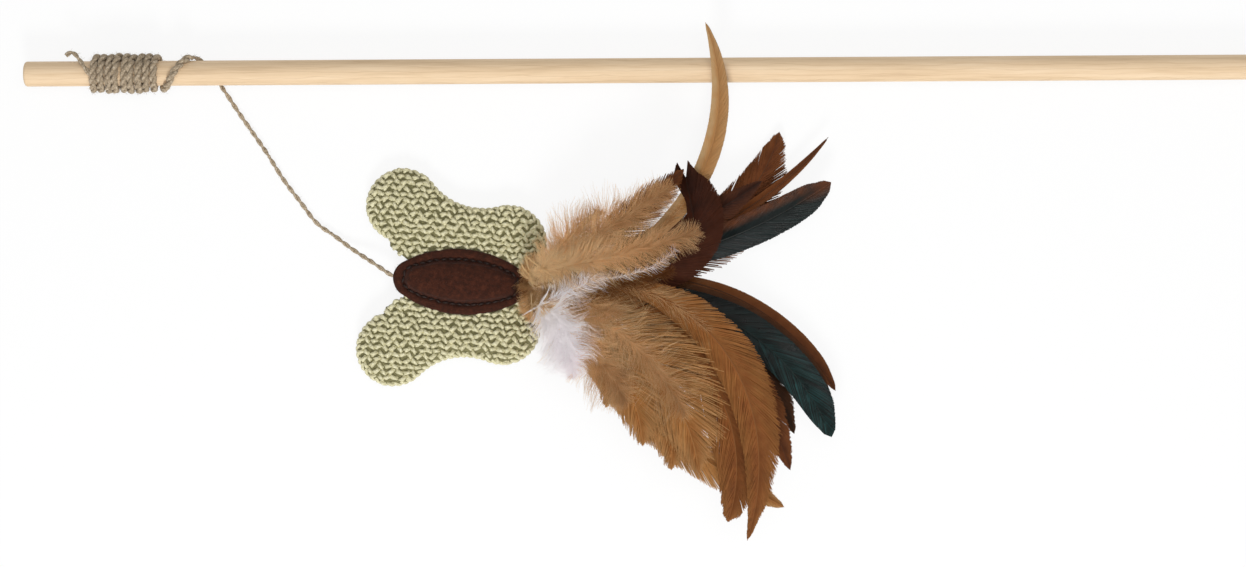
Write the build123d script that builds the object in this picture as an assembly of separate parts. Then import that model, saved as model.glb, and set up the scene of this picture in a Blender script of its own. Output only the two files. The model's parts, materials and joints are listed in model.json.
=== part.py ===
from build123d import *
import os
from math import acos, atan2, cos, degrees, hypot, pi, radians, sin, sqrt, tan

os.makedirs("parts", exist_ok=True)

# Rod, a plain dowel
ROD_DIA = 8.0
ROD_LENGTH = 500.0
ROD_END_ROUND = 1.0

# Twine: one two-ply string, slack and fat in the winding, tight and thin where it hangs free
TWINE_DIA = 1.5
WOUND_DIA = 1.9
WRAP_GAP = 0.05
WINDING_START = 21.4
WINDING_PITCH = 2.4
WINDING_QUARTERS = 37
LOOSE_PITCH = 22.0
LOOSE_QUARTERS = 2
JOIN_PITCH = 9.0
TAIL_LENGTH = 8.5
TAIL_GAP = 0.1

# Free cord: it leaves the rod's underside, lies on the floor and rises to the toy's head
ROOT_START_DEG = 145
ROOT_LEAVE_DEG = 175
CORD_GAP = 0.15
FLOOR_GAP = 0.02
UPPER_ROUTE = [(68.6, -13.9), (76.3, -24.8), (82.0, -34.4), (87.8, -41.8), (92.5, -48.5)]
LOWER_ROUTE = [(97.9, -51.9), (104.0, -56.6), (109.4, -60.0), (113.9, -63.0)]
LOWER_RISE_SHARES = (0.0, 0.25, 0.72, 1.0)

# Toy: its frame starts at the felt's head and runs to the tail
TOY_ALONG = 117.45
TOY_OUT = -65.6
TOY_TURN_DEG = -4.4
TOY_MID = 5.0

# Felt body, an oval with a flat stitched rim and a stuffed crown
BODY_LENGTH = 43.6
BODY_WIDTH = 21.0
BODY_END_RADIUS = 6.0
FELT = 1.2
RIM_WIDTH = 2.8
SOFT_GAP = 0.1
DOME_SHARES = (1.0, 0.86, 0.62, 0.3)
STITCH_PITCH = 2.5
STITCH_DIA = 0.6
STITCH_SHARE = 0.62

# Wings: padded knit, sewn thin along every edge
KNIT = 1.3
SEAM_THICKNESS = 1.6
WING_THICKNESS = 5.2
CROWN_WIDTH = 4.4
CROWN_SHARES = (0.0, 0.2, 0.5, 1.0)
TIP_RADIUS = 11.6
TIP_ALONG = 1.5
TIP_REACH = 11.15
SHOULDER_RADIUS = 12.0
SHOULDER_BACK = 7.6
SHOULDER_REACH = 1.35
NECK_WAIST = 11.7
FRONT_ALONG = -2.0
WING_DROOP_DEG = 6
HINGE_GAP = 0.15
RIM_MARGIN = 0.6
TAIL_MARGIN = 1.4
BRIDGE_NOSE = 5.0

# Cord end and stopper knot inside the body
KNOT_DIA = 3.2
KNOT_ALONG = 10.0
KNOT_FLAT_SHARE = 0.78

# Feathers: quills bound in two stacks, each feather on its own layer of one rising fan
FEATHER_LENGTH = 100.0
FEATHER_WIDTH = 10.0
QUILL_DIA = 0.8
QUILL_TUCK = 1.2
VANE = 0.35
VANE_CAMBER_SHARE = 0.07
SPINE_STEPS = 40
LAYER_LOW = 0.9
LAYER_STEP = 0.55
LAYER_RISE_SHARE = 0.0105
BUNDLE_OUT = 5.5
BINDING_LENGTH = 3.0
BINDING_SLOT = 4.0
BINDING_WALL = 0.8
STATION_SHARES = (0.0, 0.2, 0.4, 0.6, 0.76, 0.88, 0.96, 1.0)
HACKLE_SHARES = (0.0, 0.12, 0.75, 1.0, 0.92, 0.66, 0.34, 0.1)
BLADE_SHARES = (0.0, 0.08, 0.6, 0.95, 1.0, 0.9, 0.62, 0.2)
# name: side of the tail, length share, width share, heading, bend, lateness of the bend, form
FEATHER_SHARES = {
    "feather_brown_low_outer": (-1, 1.12, 0.5, 33, -91, 0, BLADE_SHARES),
    "feather_tan_high": (1, 0.96, 1.0, -8, 84, 0.1, HACKLE_SHARES),
    "feather_brown_low_streaked": (-1, 1.11, 0.55, 29, -88, 0, BLADE_SHARES),
    "feather_thin_high": (1, 1.06, 0.4, 4, 50, 0, HACKLE_SHARES),
    "feather_brown_low_inner": (-1, 1.06, 0.9, 31, -101, -0.2, HACKLE_SHARES),
    "feather_green_high": (1, 1.0, 1.0, 2, 38, 0, BLADE_SHARES),
    "feather_green_low": (-1, 1.15, 1.0, 24, -89, 0, BLADE_SHARES),
    "feather_brown_high": (1, 0.78, 0.9, 8, 30, 0, HACKLE_SHARES),
    "feather_brown_low_curved": (-1, 1.09, 1.0, 25, -94, -0.45, HACKLE_SHARES),
    "feather_upright": (1, 1.14, 0.75, 0, 117, -0.1, HACKLE_SHARES),
    "feather_pale_low": (-1, 1.03, 0.8, -47, 24, 0, HACKLE_SHARES),
    "feather_curled": (1, 0.78, 1.2, -5, 126, 1, HACKLE_SHARES),
    "feather_dark_low": (-1, 1.12, 1.1, 16, -122, 0, HACKLE_SHARES),
    "feather_brown_high_side": (1, 0.58, 0.9, 26, 26, 0, HACKLE_SHARES),
    "feather_long_low": (-1, 1.32, 1.1, 38, -141, -0.36, HACKLE_SHARES),
    "feather_tan_low_side": (-1, 0.76, 1.2, 0, -94, 0, HACKLE_SHARES),
    "feather_tan_low_broad": (-1, 0.8, 1.3, -4, -76, 0, HACKLE_SHARES),
    "feather_tan_low_short": (-1, 0.6, 1.1, -14, -70, 0, HACKLE_SHARES),
    "feather_tan_small": (-1, 0.45, 1.1, -2, -100, 0, HACKLE_SHARES),
}
EXTRA_LAYER_SHARES = {
    "feather_tan_low_side": 0.5,
    "feather_tan_low_broad": 1.0,
    "feather_tan_low_short": 1.5,
    "feather_tan_small": 2.5,
}

# Down plumes, soft tufts on top of the quills
PLUME_LENGTH = 50.0
PLUME_WIDTH = 15.0
PLUME_HEIGHT = 4.0
PLUME_BASE = 0.5
PLUME_STATION_SHARES = (0.0, 0.07, 0.2, 0.4, 0.62, 0.83, 1.0)
PLUME_FORM_SHARES = (0.08, 0.17, 0.58, 0.9, 1.0, 0.76, 0.14)
# name: side of the tail, length share, width share, heading, bend, lateness of the bend, row in the stack,
# level on other plumes
PLUME_SHARES = {
    "plume_tan_high": (1, 1.0, 1.25, 34, 4, 0, 0, 0),
    "plume_tan_high_front": (1, 1.04, 0.95, 10, 16, 0, 1, 1),
    "plume_tan_low": (-1, 0.86, 1.1, -26, -30, -0.4, 0, 0),
    "plume_white_low": (-1, 0.56, 0.9, -10, -80, -0.7, 1, 1),
    "plume_pale_middle": (-1, 0.9, 0.8, 16, 4, 0, 2, 0),
}

rod_radius = ROD_DIA / 2
rod_height = rod_radius + WRAP_GAP + WOUND_DIA
nodes = {}


def tube(edges, diameter):
    path = Wire(edges)
    return sweep(Plane(path @ 0, z_dir=path % 0) * Circle(diameter / 2), path=path)


def biarc(start, start_way, end, end_way):
    """Two arcs that leave start along start_way and come to end along end_way."""
    span = end - start
    both = span.dot(start_way + end_way)
    bend = 2 * (1 - start_way.dot(end_way))
    reach = (sqrt(both ** 2 + bend * span.dot(span)) - both) / bend
    middle = (start + end + (start_way - end_way) * reach) / 2
    first = Edge.make_tangent_arc(start, start_way, middle)
    return [first, Edge.make_tangent_arc(middle, first % 1, end)]


def on_wrap(angle, along, radius):
    return Vector(along, radius * sin(radians(angle)), rod_height + radius * cos(radians(angle)))


def wrap_way(angle, pitch, radius):
    turn = 2 * pi * radius
    return Vector(pitch, turn * cos(radians(angle)), -turn * sin(radians(angle))).normalized()


def wrap_edges(stations, radius):
    """Biarcs through (angle, along, pitch) stations round the rod."""
    edges = []
    for (angle, along, pitch), (next_angle, next_along, next_pitch) in zip(stations, stations[1:]):
        edges += biarc(
            on_wrap(angle, along, radius),
            wrap_way(angle, pitch, radius),
            on_wrap(next_angle, next_along, radius),
            wrap_way(next_angle, next_pitch, radius),
        )
    return edges


def least_gap(edges, diameter, apart):
    """Smallest clear space between stretches of one tube that lie more than apart along it."""
    points, run = [], 0.0
    for edge in edges:
        for step in range(6):
            points.append((run + edge.length * step / 6, edge @ (step / 6)))
        run += edge.length
    return min(
        (p - q).length for i, (s, p) in enumerate(points) for t, q in points[i + 1:] if t - s > apart
    ) - diameter


def fillet_radii(points):
    """Arc at each bend as large as its two runs allow."""
    radii = []
    for a, b, c in zip(points, points[1:], points[2:]):
        turn = (b - a).get_angle(c - b)
        shorter = min((b - a).length, (c - b).length)
        radii.append(0.45 * shorter / tan(radians(turn) / 2))
    return radii


def cord(points, name):
    radii = fillet_radii(points)
    print(name, "bend radii", [round(r, 1) for r in radii])
    return FilletPolyline(*points, radius=radii)


def round_start(line):
    """Half ball that closes a cord where it hinges."""
    return Plane(line @ 0, z_dir=-(line % 0)) * Sphere(TWINE_DIA / 2, arc_size1=0)


# Rod along X with its tip at zero
rod = Plane.YZ * Cylinder(rod_radius, ROD_LENGTH, align=(Align.CENTER, Align.CENTER, Align.MIN))
rod = fillet(rod.edges().filter_by(GeomType.CIRCLE), ROD_END_ROUND)
nodes["wand_rod"] = Pos(0, 0, rod_height) * rod

# Winding: tight turns, then one loose turn that crosses the rod's face
wound_radius = rod_radius + WRAP_GAP + WOUND_DIA / 2
stations = []
for quarter in range(WINDING_QUARTERS):
    stations.append((-180 + 90 * quarter, WINDING_START + WINDING_PITCH * quarter / 4, WINDING_PITCH))
join_angle = -180 + 90 * WINDING_QUARTERS
join_along = stations[-1][1] + (WINDING_PITCH + JOIN_PITCH) / 8
stations.append((join_angle, join_along, JOIN_PITCH))
loose_along = join_along + (JOIN_PITCH + LOOSE_PITCH) / 8
for quarter in range(LOOSE_QUARTERS):
    stations.append((join_angle + 90 * (quarter + 1), loose_along + LOOSE_PITCH * quarter / 4, LOOSE_PITCH))
turns = wrap_edges(stations, wound_radius)
lead_in = Edge.make_line((turns[0] @ 0) - (turns[0] % 0) * WOUND_DIA, turns[0] @ 0)
lead_out = Edge.make_line(turns[-1] @ 1, (turns[-1] @ 1) + (turns[-1] % 1) * WOUND_DIA)
winding = [lead_in, *turns, lead_out]
nodes["twine_winding"] = tube(winding, WOUND_DIA)
print("winding least gap", round(least_gap(winding, WOUND_DIA, 4 * WOUND_DIA), 2))
print("winding length", round(sum(edge.length for edge in winding), 1))

# Tail: the twine's trapped start, up over the rod's edge beside the first turn
tail_radius = rod_radius + WRAP_GAP + TWINE_DIA / 2
tail_along = WINDING_START - (WOUND_DIA + TWINE_DIA) / 2 - TAIL_GAP
tail_points = [
    on_wrap(8, tail_along, tail_radius),
    on_wrap(34, tail_along - TAIL_LENGTH * 0.2, tail_radius * 1.06),
    on_wrap(56, tail_along - TAIL_LENGTH * 0.5, tail_radius * 1.3),
    on_wrap(64, tail_along - TAIL_LENGTH * 0.82, tail_radius * 1.4),
]
nodes["twine_tail"] = tube(cord(tail_points, "tail").edges(), TWINE_DIA)

# Free cord, first stretch: round the back of the rod to the hinge under its near edge
root_radius = rod_radius + WRAP_GAP + TWINE_DIA / 2
end_angle, end_along, _ = stations[-1]
root_stations = [
    (angle, end_along + LOOSE_PITCH * (angle - 90) / 360, LOOSE_PITCH)
    for angle in (ROOT_START_DEG, ROOT_LEAVE_DEG)
]
root_turn = wrap_edges(root_stations, root_radius)
leave = root_turn[-1] @ 1
leave_way = root_turn[-1] % 1
run_out = (leave.Y + rod_radius) / -leave_way.Y
swing_point = leave + leave_way * run_out
swing_point = Vector(swing_point.X, swing_point.Y, TWINE_DIA / 2 + FLOOR_GAP)
root_way = (swing_point - leave).normalized()
root_end = swing_point - root_way * (TWINE_DIA / 2 + CORD_GAP)
root_line = [*root_turn, Edge.make_line(leave, root_end)]
nodes["cord_root"] = tube(root_line, TWINE_DIA)

# Second stretch: flat on the floor to the kink
floor_height = TWINE_DIA / 2 + FLOOR_GAP
upper_points = [swing_point] + [Vector(x, y, floor_height) for x, y in UPPER_ROUTE]
kink_point = upper_points[-1]
kink_way = (kink_point - upper_points[-2]).normalized()
upper_points[-1] = kink_point - kink_way * (TWINE_DIA / 2 + CORD_GAP)
upper_line = cord(upper_points, "upper cord")
nodes["cord_upper"] = tube(upper_line.edges(), TWINE_DIA) + round_start(upper_line)

# Third stretch: from the kink up to the toy's head
lower_points = [kink_point] + [
    Vector(x, y, floor_height + (TOY_MID - floor_height) * rise)
    for (x, y), rise in zip(LOWER_ROUTE, LOWER_RISE_SHARES)
]
swivel_point = lower_points[-1]
swivel_way = (swivel_point - lower_points[-2]).normalized()
lower_points[-1] = swivel_point - swivel_way * (TWINE_DIA / 2 + CORD_GAP)
lower_line = cord(lower_points, "lower cord")
nodes["cord_lower"] = tube(lower_line.edges(), TWINE_DIA) + round_start(lower_line)

# Cord end inside the toy
toy = Location((TOY_ALONG, TOY_OUT, 0), (0, 0, TOY_TURN_DEG))
knot_radius = KNOT_DIA / 2
knot_face = KNOT_ALONG - knot_radius * KNOT_FLAT_SHARE
head = (toy * Pos(0, 0, TOY_MID)).position
inside = (toy * Pos(knot_face, 0, TOY_MID)).position
end_line = cord([swivel_point, head, inside], "cord end")
nodes["cord_end"] = tube(end_line.edges(), TWINE_DIA) + round_start(end_line)
knot_ball = Pos(KNOT_ALONG, 0, TOY_MID) * Sphere(knot_radius)
knot_cut = Pos(knot_face, 0, TOY_MID) * Box(
    KNOT_DIA, KNOT_DIA, KNOT_DIA, align=(Align.MAX, Align.CENTER, Align.CENTER)
)
nodes["stopper_knot"] = toy * (knot_ball - knot_cut)
print("free cord length", round(run_out + upper_line.length + lower_line.length + end_line.length, 1))


def arc_about(centre, radius, from_deg, to_deg):
    centre = Vector(*centre)
    points = [
        centre + Vector(cos(radians(a)), sin(radians(a))) * radius
        for a in (from_deg, (from_deg + to_deg) / 2, to_deg)
    ]
    return ThreePointArc(*points)


def oval(half_length, half_width, end_radius):
    """Four tangent arcs: two ends and two long sides."""
    reach = half_length - end_radius
    side_radius = (reach ** 2 + half_width ** 2 - end_radius ** 2) / (2 * (half_width - end_radius))
    drop = side_radius - half_width
    meet = degrees(atan2(drop, reach))
    sides = [
        arc_about((reach, 0), end_radius, -meet, meet),
        arc_about((0, -drop), side_radius, meet, 180 - meet),
        arc_about((-reach, 0), end_radius, 180 - meet, 180 + meet),
        arc_about((0, drop), side_radius, 180 + meet, 360 - meet),
    ]
    return sides


def oval_face(share, inset):
    sides = oval(BODY_LENGTH / 2 - inset, BODY_WIDTH / 2 - inset, BODY_END_RADIUS - inset)
    return scale(make_face(sides), share)


def dome(inset, rise, low):
    """Stuffed crown: ovals that shrink as they rise along a quarter ellipse."""
    sections = [
        Pos(BODY_LENGTH / 2, 0, low + rise * sqrt(1 - share ** 2)) * oval_face(share, inset)
        for share in DOME_SHARES
    ]
    return loft(sections)


# Felt body: two mirrored covers on the knitted middle, each with wadding under its crown
half_seam = SEAM_THICKNESS / 2
seat = TOY_MID + half_seam
dome_rise = TOY_MID - half_seam - FELT
rim = Pos(BODY_LENGTH / 2, 0, seat) * extrude(oval_face(1, 0), FELT)
hollow = dome(RIM_WIDTH + FELT / 2, dome_rise, seat)
felt = rim + dome(RIM_WIDTH, dome_rise, seat + FELT) - hollow
knot_room = Pos(KNOT_ALONG, 0, TOY_MID) * Sphere(knot_radius + SOFT_GAP)
stuffing = dome(RIM_WIDTH + FELT / 2 + SOFT_GAP, dome_rise - SOFT_GAP, seat) - knot_room
middle = Plane.XY.offset(TOY_MID)
nodes["body_felt_front"] = toy * felt
nodes["body_felt_back"] = toy * mirror(felt, middle)
nodes["body_wadding_front"] = toy * stuffing
nodes["body_wadding_back"] = toy * mirror(stuffing, middle)

# Seam thread: stitches along the rim, seen on both covers
seam_line = Wire(oval(BODY_LENGTH / 2 - RIM_WIDTH / 2, BODY_WIDTH / 2 - RIM_WIDTH / 2,
                      BODY_END_RADIUS - RIM_WIDTH / 2))
stitch_count = round(seam_line.length / STITCH_PITCH)
stitch = Cylinder(STITCH_DIA / 2, STITCH_PITCH * STITCH_SHARE)
stitches = []
for index in range(stitch_count):
    spot = seam_line @ (index / stitch_count) + Vector(BODY_LENGTH / 2, 0, seat + FELT + STITCH_DIA / 2)
    stitches.append(Plane(spot, z_dir=seam_line % (index / stitch_count)) * stitch)
stitches += [mirror(one, middle) for one in stitches]
nodes["seam_thread"] = toy * Compound(stitches)

# Knitted middle: from wing to wing, sandwiched by the felt
hinge_out = BODY_WIDTH / 2 + RIM_MARGIN + HINGE_GAP + half_seam
bridge_rear = BODY_LENGTH + TAIL_MARGIN
bridge_half = hinge_out - half_seam - HINGE_GAP
bridge_outline = Polyline(
    (FRONT_ALONG, bridge_half),
    (BRIDGE_NOSE, BODY_END_RADIUS),
    (BRIDGE_NOSE, -BODY_END_RADIUS),
    (FRONT_ALONG, -bridge_half),
    (bridge_rear, -bridge_half),
    (bridge_rear, bridge_half),
    close=True,
)
bridge = make_face(bridge_outline) + Pos(BODY_LENGTH / 2, 0) * oval_face(1, RIM_WIDTH / 4)
bridge = Pos(0, 0, TOY_MID - half_seam) * extrude(bridge, SEAM_THICKNESS)
cord_slot = Pos(0, 0, TOY_MID) * Box(2 * KNOT_ALONG, TWINE_DIA * 1.6, SEAM_THICKNESS)
bridge = bridge - cord_slot - Pos(KNOT_ALONG, 0, TOY_MID) * Cylinder(knot_radius + SOFT_GAP, SEAM_THICKNESS)
nodes["wing_bridge"] = toy * bridge

# Wing outline: front line, round tip, hollow neck, round shoulder and the hinge line. The neck touches both
# round ends and leaves a waist of knit beside the hinge line
tip = Vector(TIP_ALONG, hinge_out + TIP_REACH)
shoulder = Vector(BODY_LENGTH - SHOULDER_BACK, hinge_out + SHOULDER_REACH)
waist = hinge_out + NECK_WAIST
tip_rise = TIP_RADIUS + tip.Y - waist
shoulder_rise = SHOULDER_RADIUS + shoulder.Y - waist
tip_part = (waist - tip.Y) ** 2 - TIP_RADIUS ** 2
shoulder_part = (waist - shoulder.Y) ** 2 - SHOULDER_RADIUS ** 2
square = shoulder_rise - tip_rise
linear = shoulder_rise * tip.X - tip_rise * shoulder.X
constant = shoulder_rise * (tip.X ** 2 + tip_part) - tip_rise * (shoulder.X ** 2 + shoulder_part)
neck_along = (linear + sqrt(linear ** 2 - square * constant)) / square
neck_radius = ((neck_along - tip.X) ** 2 + tip_part) / (2 * tip_rise)
neck = Vector(neck_along, waist + neck_radius)
print("neck radius", round(neck_radius, 2))
front = Vector(FRONT_ALONG, hinge_out) - tip
front_deg = degrees(atan2(front.Y, front.X)) % 360 - degrees(acos(TIP_RADIUS / front.length))
tip_neck_deg = degrees(atan2((neck - tip).Y, (neck - tip).X))
shoulder_neck_deg = degrees(atan2((neck - shoulder).Y, (neck - shoulder).X))


def wing_face(inset):
    tip_r = TIP_RADIUS - inset
    shoulder_r = SHOULDER_RADIUS - inset
    neck_r = neck_radius + inset
    base = hinge_out + inset
    touch = (tip.X + tip_r * cos(radians(front_deg)), tip.Y + tip_r * sin(radians(front_deg)))
    front_x = tip.X + (tip_r - (base - tip.Y) * sin(radians(front_deg))) / cos(radians(front_deg))
    rear_deg = degrees(atan2(base - shoulder.Y, sqrt(shoulder_r ** 2 - (base - shoulder.Y) ** 2)))
    half_tip = (front_deg + tip_neck_deg) / 2
    sides = [
        Line((front_x, base), touch),
        arc_about(tip, tip_r, front_deg, half_tip),
        arc_about(tip, tip_r, half_tip, tip_neck_deg),
        arc_about(neck, neck_r, tip_neck_deg - 180, shoulder_neck_deg - 180),
        arc_about(shoulder, shoulder_r, shoulder_neck_deg, rear_deg),
    ]
    return make_face(sides + [Line(sides[-1] @ 1, (front_x, base))])


def crown(inset, low, rise):
    """Upper half of a padded wing: the outline drawn in as it rises along a quarter ellipse."""
    sections = [
        Pos(0, 0, low + rise * sqrt(1 - (1 - share) ** 2)) * wing_face(inset + CROWN_WIDTH * share)
        for share in CROWN_SHARES
    ]
    return loft(sections)


half_wing = WING_THICKNESS / 2
shell = extrude(wing_face(0), half_seam) + crown(0, half_seam, half_wing - half_seam)
pad = crown(KNIT, 0, half_wing - KNIT)
base_edge = wing_face(0).edges().sort_by(Axis.Y)[0]
bead_face = make_face([
    Line((0, 0), (-half_seam, 0)),
    ThreePointArc((-half_seam, 0), (-half_seam * cos(pi / 4), half_seam * sin(pi / 4)), (0, half_seam)),
    Line((0, half_seam), (0, 0)),
])
bead_plane = Plane((base_edge.bounding_box().min.X, hinge_out, 0), x_dir=(0, 1, 0), z_dir=(1, 0, 0))
bead = extrude(bead_plane * bead_face, base_edge.length)
shell = shell + bead - pad
pad = crown(KNIT + SOFT_GAP, 0, half_wing - KNIT - SOFT_GAP)
hinge_line = Axis((0, hinge_out, 0), (1, 0, 0))


def place_wing(solid, side):
    solid = Pos(0, 0, TOY_MID) * solid.rotate(hinge_line, -WING_DROOP_DEG)
    return toy * (solid if side > 0 else mirror(solid, Plane.XZ))


for side, name in ((1, "upper_wing"), (-1, "lower_wing")):
    nodes[name + "_front"] = place_wing(shell, side)
    nodes[name + "_back"] = place_wing(mirror(shell, Plane.XY), side)
    nodes[name + "_wadding"] = place_wing(pad + mirror(pad, Plane.XY), side)

# Feathers
fan_along = bridge_rear + BINDING_LENGTH / 2
fan_apex = Vector(fan_along, 0)


def spine(side, length, heading_deg, bend_deg, late, layer, share, lift=0):
    """Place on a feather's spine: its bend in plan may come late, and its layer is a rising cone."""
    x, y = fan_apex.X, side * BUNDLE_OUT
    for step in range(SPINE_STEPS + 1):
        done = share * step / SPINE_STEPS
        ahead = radians(heading_deg + bend_deg * (done - late * done * (1 - done)))
        if step < SPINE_STEPS:
            x += length * share / SPINE_STEPS * cos(ahead)
            y += length * share / SPINE_STEPS * sin(ahead)
    reach = hypot(x - fan_apex.X, y - fan_apex.Y)
    rise = layer * LAYER_RISE_SHARE
    outward = (x - fan_apex.X) * cos(ahead) + (y - fan_apex.Y) * sin(ahead)
    slope = rise * outward / max(reach, QUILL_DIA)
    place = Vector(x, y, lift + LAYER_LOW + layer * LAYER_STEP + rise * reach)
    return Plane(place, x_dir=(-sin(ahead), cos(ahead), 0), z_dir=(cos(ahead), sin(ahead), slope))


def vane_face(half, quill):
    """Thin roof of two vanes with the quill as a rounded ridge on it."""
    edge = -half * VANE_CAMBER_SHARE
    corners = [
        (quill, VANE),
        (half, VANE + edge),
        (half, edge),
        (0, 0),
        (-half, edge),
        (-half, VANE + edge),
        (-quill, VANE),
    ]
    ridge = ThreePointArc((-quill, VANE), (0, VANE + quill), (quill, VANE))
    return make_face([Polyline(*corners), ridge])


def feather(side, length, width, heading, bend, late, layer, form):
    sections = []
    for share, breadth in zip(STATION_SHARES, form):
        quill = QUILL_DIA / 2 * (1 - share / 2)
        half = quill * 1.4 + breadth * width / 2
        at = share if share else -QUILL_TUCK / length
        sections.append(spine(side, length, heading, bend, late, layer, at) * vane_face(half, quill))
    return loft(sections)


for index, (name, shares) in enumerate(FEATHER_SHARES.items()):
    side, length, width, heading, bend, late, form = shares
    layer = index + EXTRA_LAYER_SHARES.get(name, 0)
    nodes[name] = toy * feather(
        side, length * FEATHER_LENGTH, width * FEATHER_WIDTH, heading, bend, late, layer, form
    )
top_layer = layer + 1


def plume_face(half, height):
    under = ThreePointArc((-half, 0), (0, -PLUME_BASE * height / PLUME_HEIGHT), (half, 0))
    over = ThreePointArc((half, 0), (0, height), (-half, 0))
    return make_face([under, over])


def plume(side, length, width, heading, bend, late, row, level):
    sections = []
    for share, form in zip(PLUME_STATION_SHARES, PLUME_FORM_SHARES):
        at = share if share else -QUILL_TUCK / length
        lift = PLUME_BASE + level * (PLUME_HEIGHT + 2 * PLUME_BASE) * form
        place = spine(side, length, heading, bend, late, top_layer + row, at, lift)
        sections.append(place * plume_face(width / 2 * form, PLUME_HEIGHT * form))
    return loft(sections)


for name, (side, length, width, *rest) in PLUME_SHARES.items():
    nodes[name] = toy * plume(side, length * PLUME_LENGTH, width * PLUME_WIDTH, *rest)

# Thread bindings round the two stacks of quills
root_height = 2 * (PLUME_HEIGHT + PLUME_BASE) * PLUME_FORM_SHARES[1]
top_row = top_layer + max(row for *_, row, level in PLUME_SHARES.values())
root_rise = top_row * LAYER_RISE_SHARE * (BUNDLE_OUT + BINDING_LENGTH)
stack_top = LAYER_LOW + top_row * LAYER_STEP + root_rise + root_height + PLUME_BASE
stack_height = stack_top - LAYER_LOW / 2
ring = Rectangle(BINDING_SLOT + 2 * BINDING_WALL, stack_height)
ring = ring - Rectangle(BINDING_SLOT, stack_height - 2 * BINDING_WALL)
for side, name in ((1, "quill_binding_upper"), (-1, "quill_binding_lower")):
    plane = Plane(
        (bridge_rear, side * BUNDLE_OUT, (stack_top + LAYER_LOW / 2) / 2),
        x_dir=(0, 1, 0),
        z_dir=(1, 0, 0),
    )
    nodes[name] = toy * extrude(plane * ring, BINDING_LENGTH)

# Origin under the middle of the object, without its free cord
cords = ("cord_root", "cord_upper", "cord_lower")
box = Compound([solid for name, solid in nodes.items() if name not in cords]).bounding_box()
shift = Vector(-(box.min.X + box.max.X) / 2, -(box.min.Y + box.max.Y) / 2, -box.min.Z)
for name, solid in nodes.items():
    export_step(Pos(*shift) * solid, f"parts/{name}.step")

rod_line = Vector(0, 0, rod_height) + shift
print("shift", [round(v, 3) for v in shift])
print("rod axis point", [round(v, 3) for v in rod_line])
print("rod far end", [round(v, 3) for v in rod_line + Vector(ROD_LENGTH, 0, 0)])
for name, point in (("swing", swing_point), ("kink", kink_point), ("swivel", swivel_point)):
    print(name, [round(v, 3) for v in point + shift])
for side, name in ((1, "upper wing hinge"), (-1, "lower wing hinge")):
    print(name, [round(v, 3) for v in (toy * Pos(0, side * hinge_out, TOY_MID)).position + shift])
print("toy turn", TOY_TURN_DEG, "nodes", len(nodes))
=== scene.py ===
# %% [markdown]
# # A cat teaser wand
# The real thing is a bare wooden rod with twine wound round its tip. A limp end of that twine leads to a
# small padded butterfly: two knitted wings, a stitched felt body and a tail of cock feathers and down.
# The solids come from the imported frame. Here they get the yarn, felt and barbs that only a mesh can show.

# %% Load the frame
import json
from math import acos, atan2, ceil, cos, degrees, hypot, pi, radians, sin, sqrt, tau

import bmesh
import bpy
import numpy as np
from mathutils import Matrix, Vector


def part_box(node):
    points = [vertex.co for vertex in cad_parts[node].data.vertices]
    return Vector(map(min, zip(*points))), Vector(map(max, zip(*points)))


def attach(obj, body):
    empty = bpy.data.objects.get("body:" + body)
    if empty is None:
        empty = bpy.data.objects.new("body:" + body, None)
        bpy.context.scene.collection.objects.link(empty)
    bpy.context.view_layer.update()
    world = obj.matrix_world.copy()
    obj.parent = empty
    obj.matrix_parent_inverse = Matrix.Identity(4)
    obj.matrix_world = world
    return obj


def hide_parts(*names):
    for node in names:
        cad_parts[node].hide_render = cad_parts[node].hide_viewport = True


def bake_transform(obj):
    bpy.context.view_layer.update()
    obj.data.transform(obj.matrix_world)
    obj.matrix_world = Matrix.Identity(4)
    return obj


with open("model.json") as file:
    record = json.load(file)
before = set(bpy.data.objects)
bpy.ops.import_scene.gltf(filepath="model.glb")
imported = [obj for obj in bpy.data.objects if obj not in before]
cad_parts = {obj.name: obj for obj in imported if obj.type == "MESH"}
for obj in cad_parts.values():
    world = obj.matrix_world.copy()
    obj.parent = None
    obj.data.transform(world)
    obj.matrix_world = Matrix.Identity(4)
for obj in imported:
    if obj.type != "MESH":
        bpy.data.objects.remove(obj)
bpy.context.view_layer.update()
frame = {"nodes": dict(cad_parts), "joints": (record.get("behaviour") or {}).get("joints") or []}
MM = 0.001
joints = {joint["name"]: joint for joint in frame["joints"]}

# %% [markdown]
# ## Two places to measure from
# The wand has its own coordinates, along the rod from its tip and out from its axis. The toy has others,
# from the felt's head to its tail. Both are read from the joints, so nothing has to be fitted by eye.

# %% Wand and toy coordinates
rod_low, rod_high = (Vector(corner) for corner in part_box("wand_rod"))
ROD_RADIUS = (rod_high.y - rod_low.y) / 2
rod_tip = Vector((rod_low.x, (rod_low.y + rod_high.y) / 2, (rod_low.z + rod_high.z) / 2))
upper_hinge = Vector(joints["upper_wing_flap"]["pos_m"])
lower_hinge = Vector(joints["lower_wing_flap"]["pos_m"])
toy_head = (upper_hinge + lower_hinge) / 2
toy_along = Vector(joints["upper_wing_flap"]["axis"]).normalized()
toy_across = (upper_hinge - lower_hinge).normalized()
HINGE_OUT = (upper_hinge - lower_hinge).length / 2
TOY_MID = toy_head.z


def wand_point(along, out, height):
    """A place by the rod: metres from its tip, out from its axis, up from the floor."""
    return Vector((rod_tip.x + along, rod_tip.y + out, height))


def toy_point(along, out, height):
    """A place on the toy: metres from its head, out from its middle line, up from the floor."""
    flat = toy_head + toy_along * along + toy_across * out
    return Vector((flat.x, flat.y, height))


print("rod radius", round(ROD_RADIUS / MM, 2), "hinge out", round(HINGE_OUT / MM, 2), "mm")

# %% [markdown]
# ## Camera
# The picture was taken from straight above, and the rod lies a third of a degree off level in it. A long
# lens keeps the feathers' height from spreading them.

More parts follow.
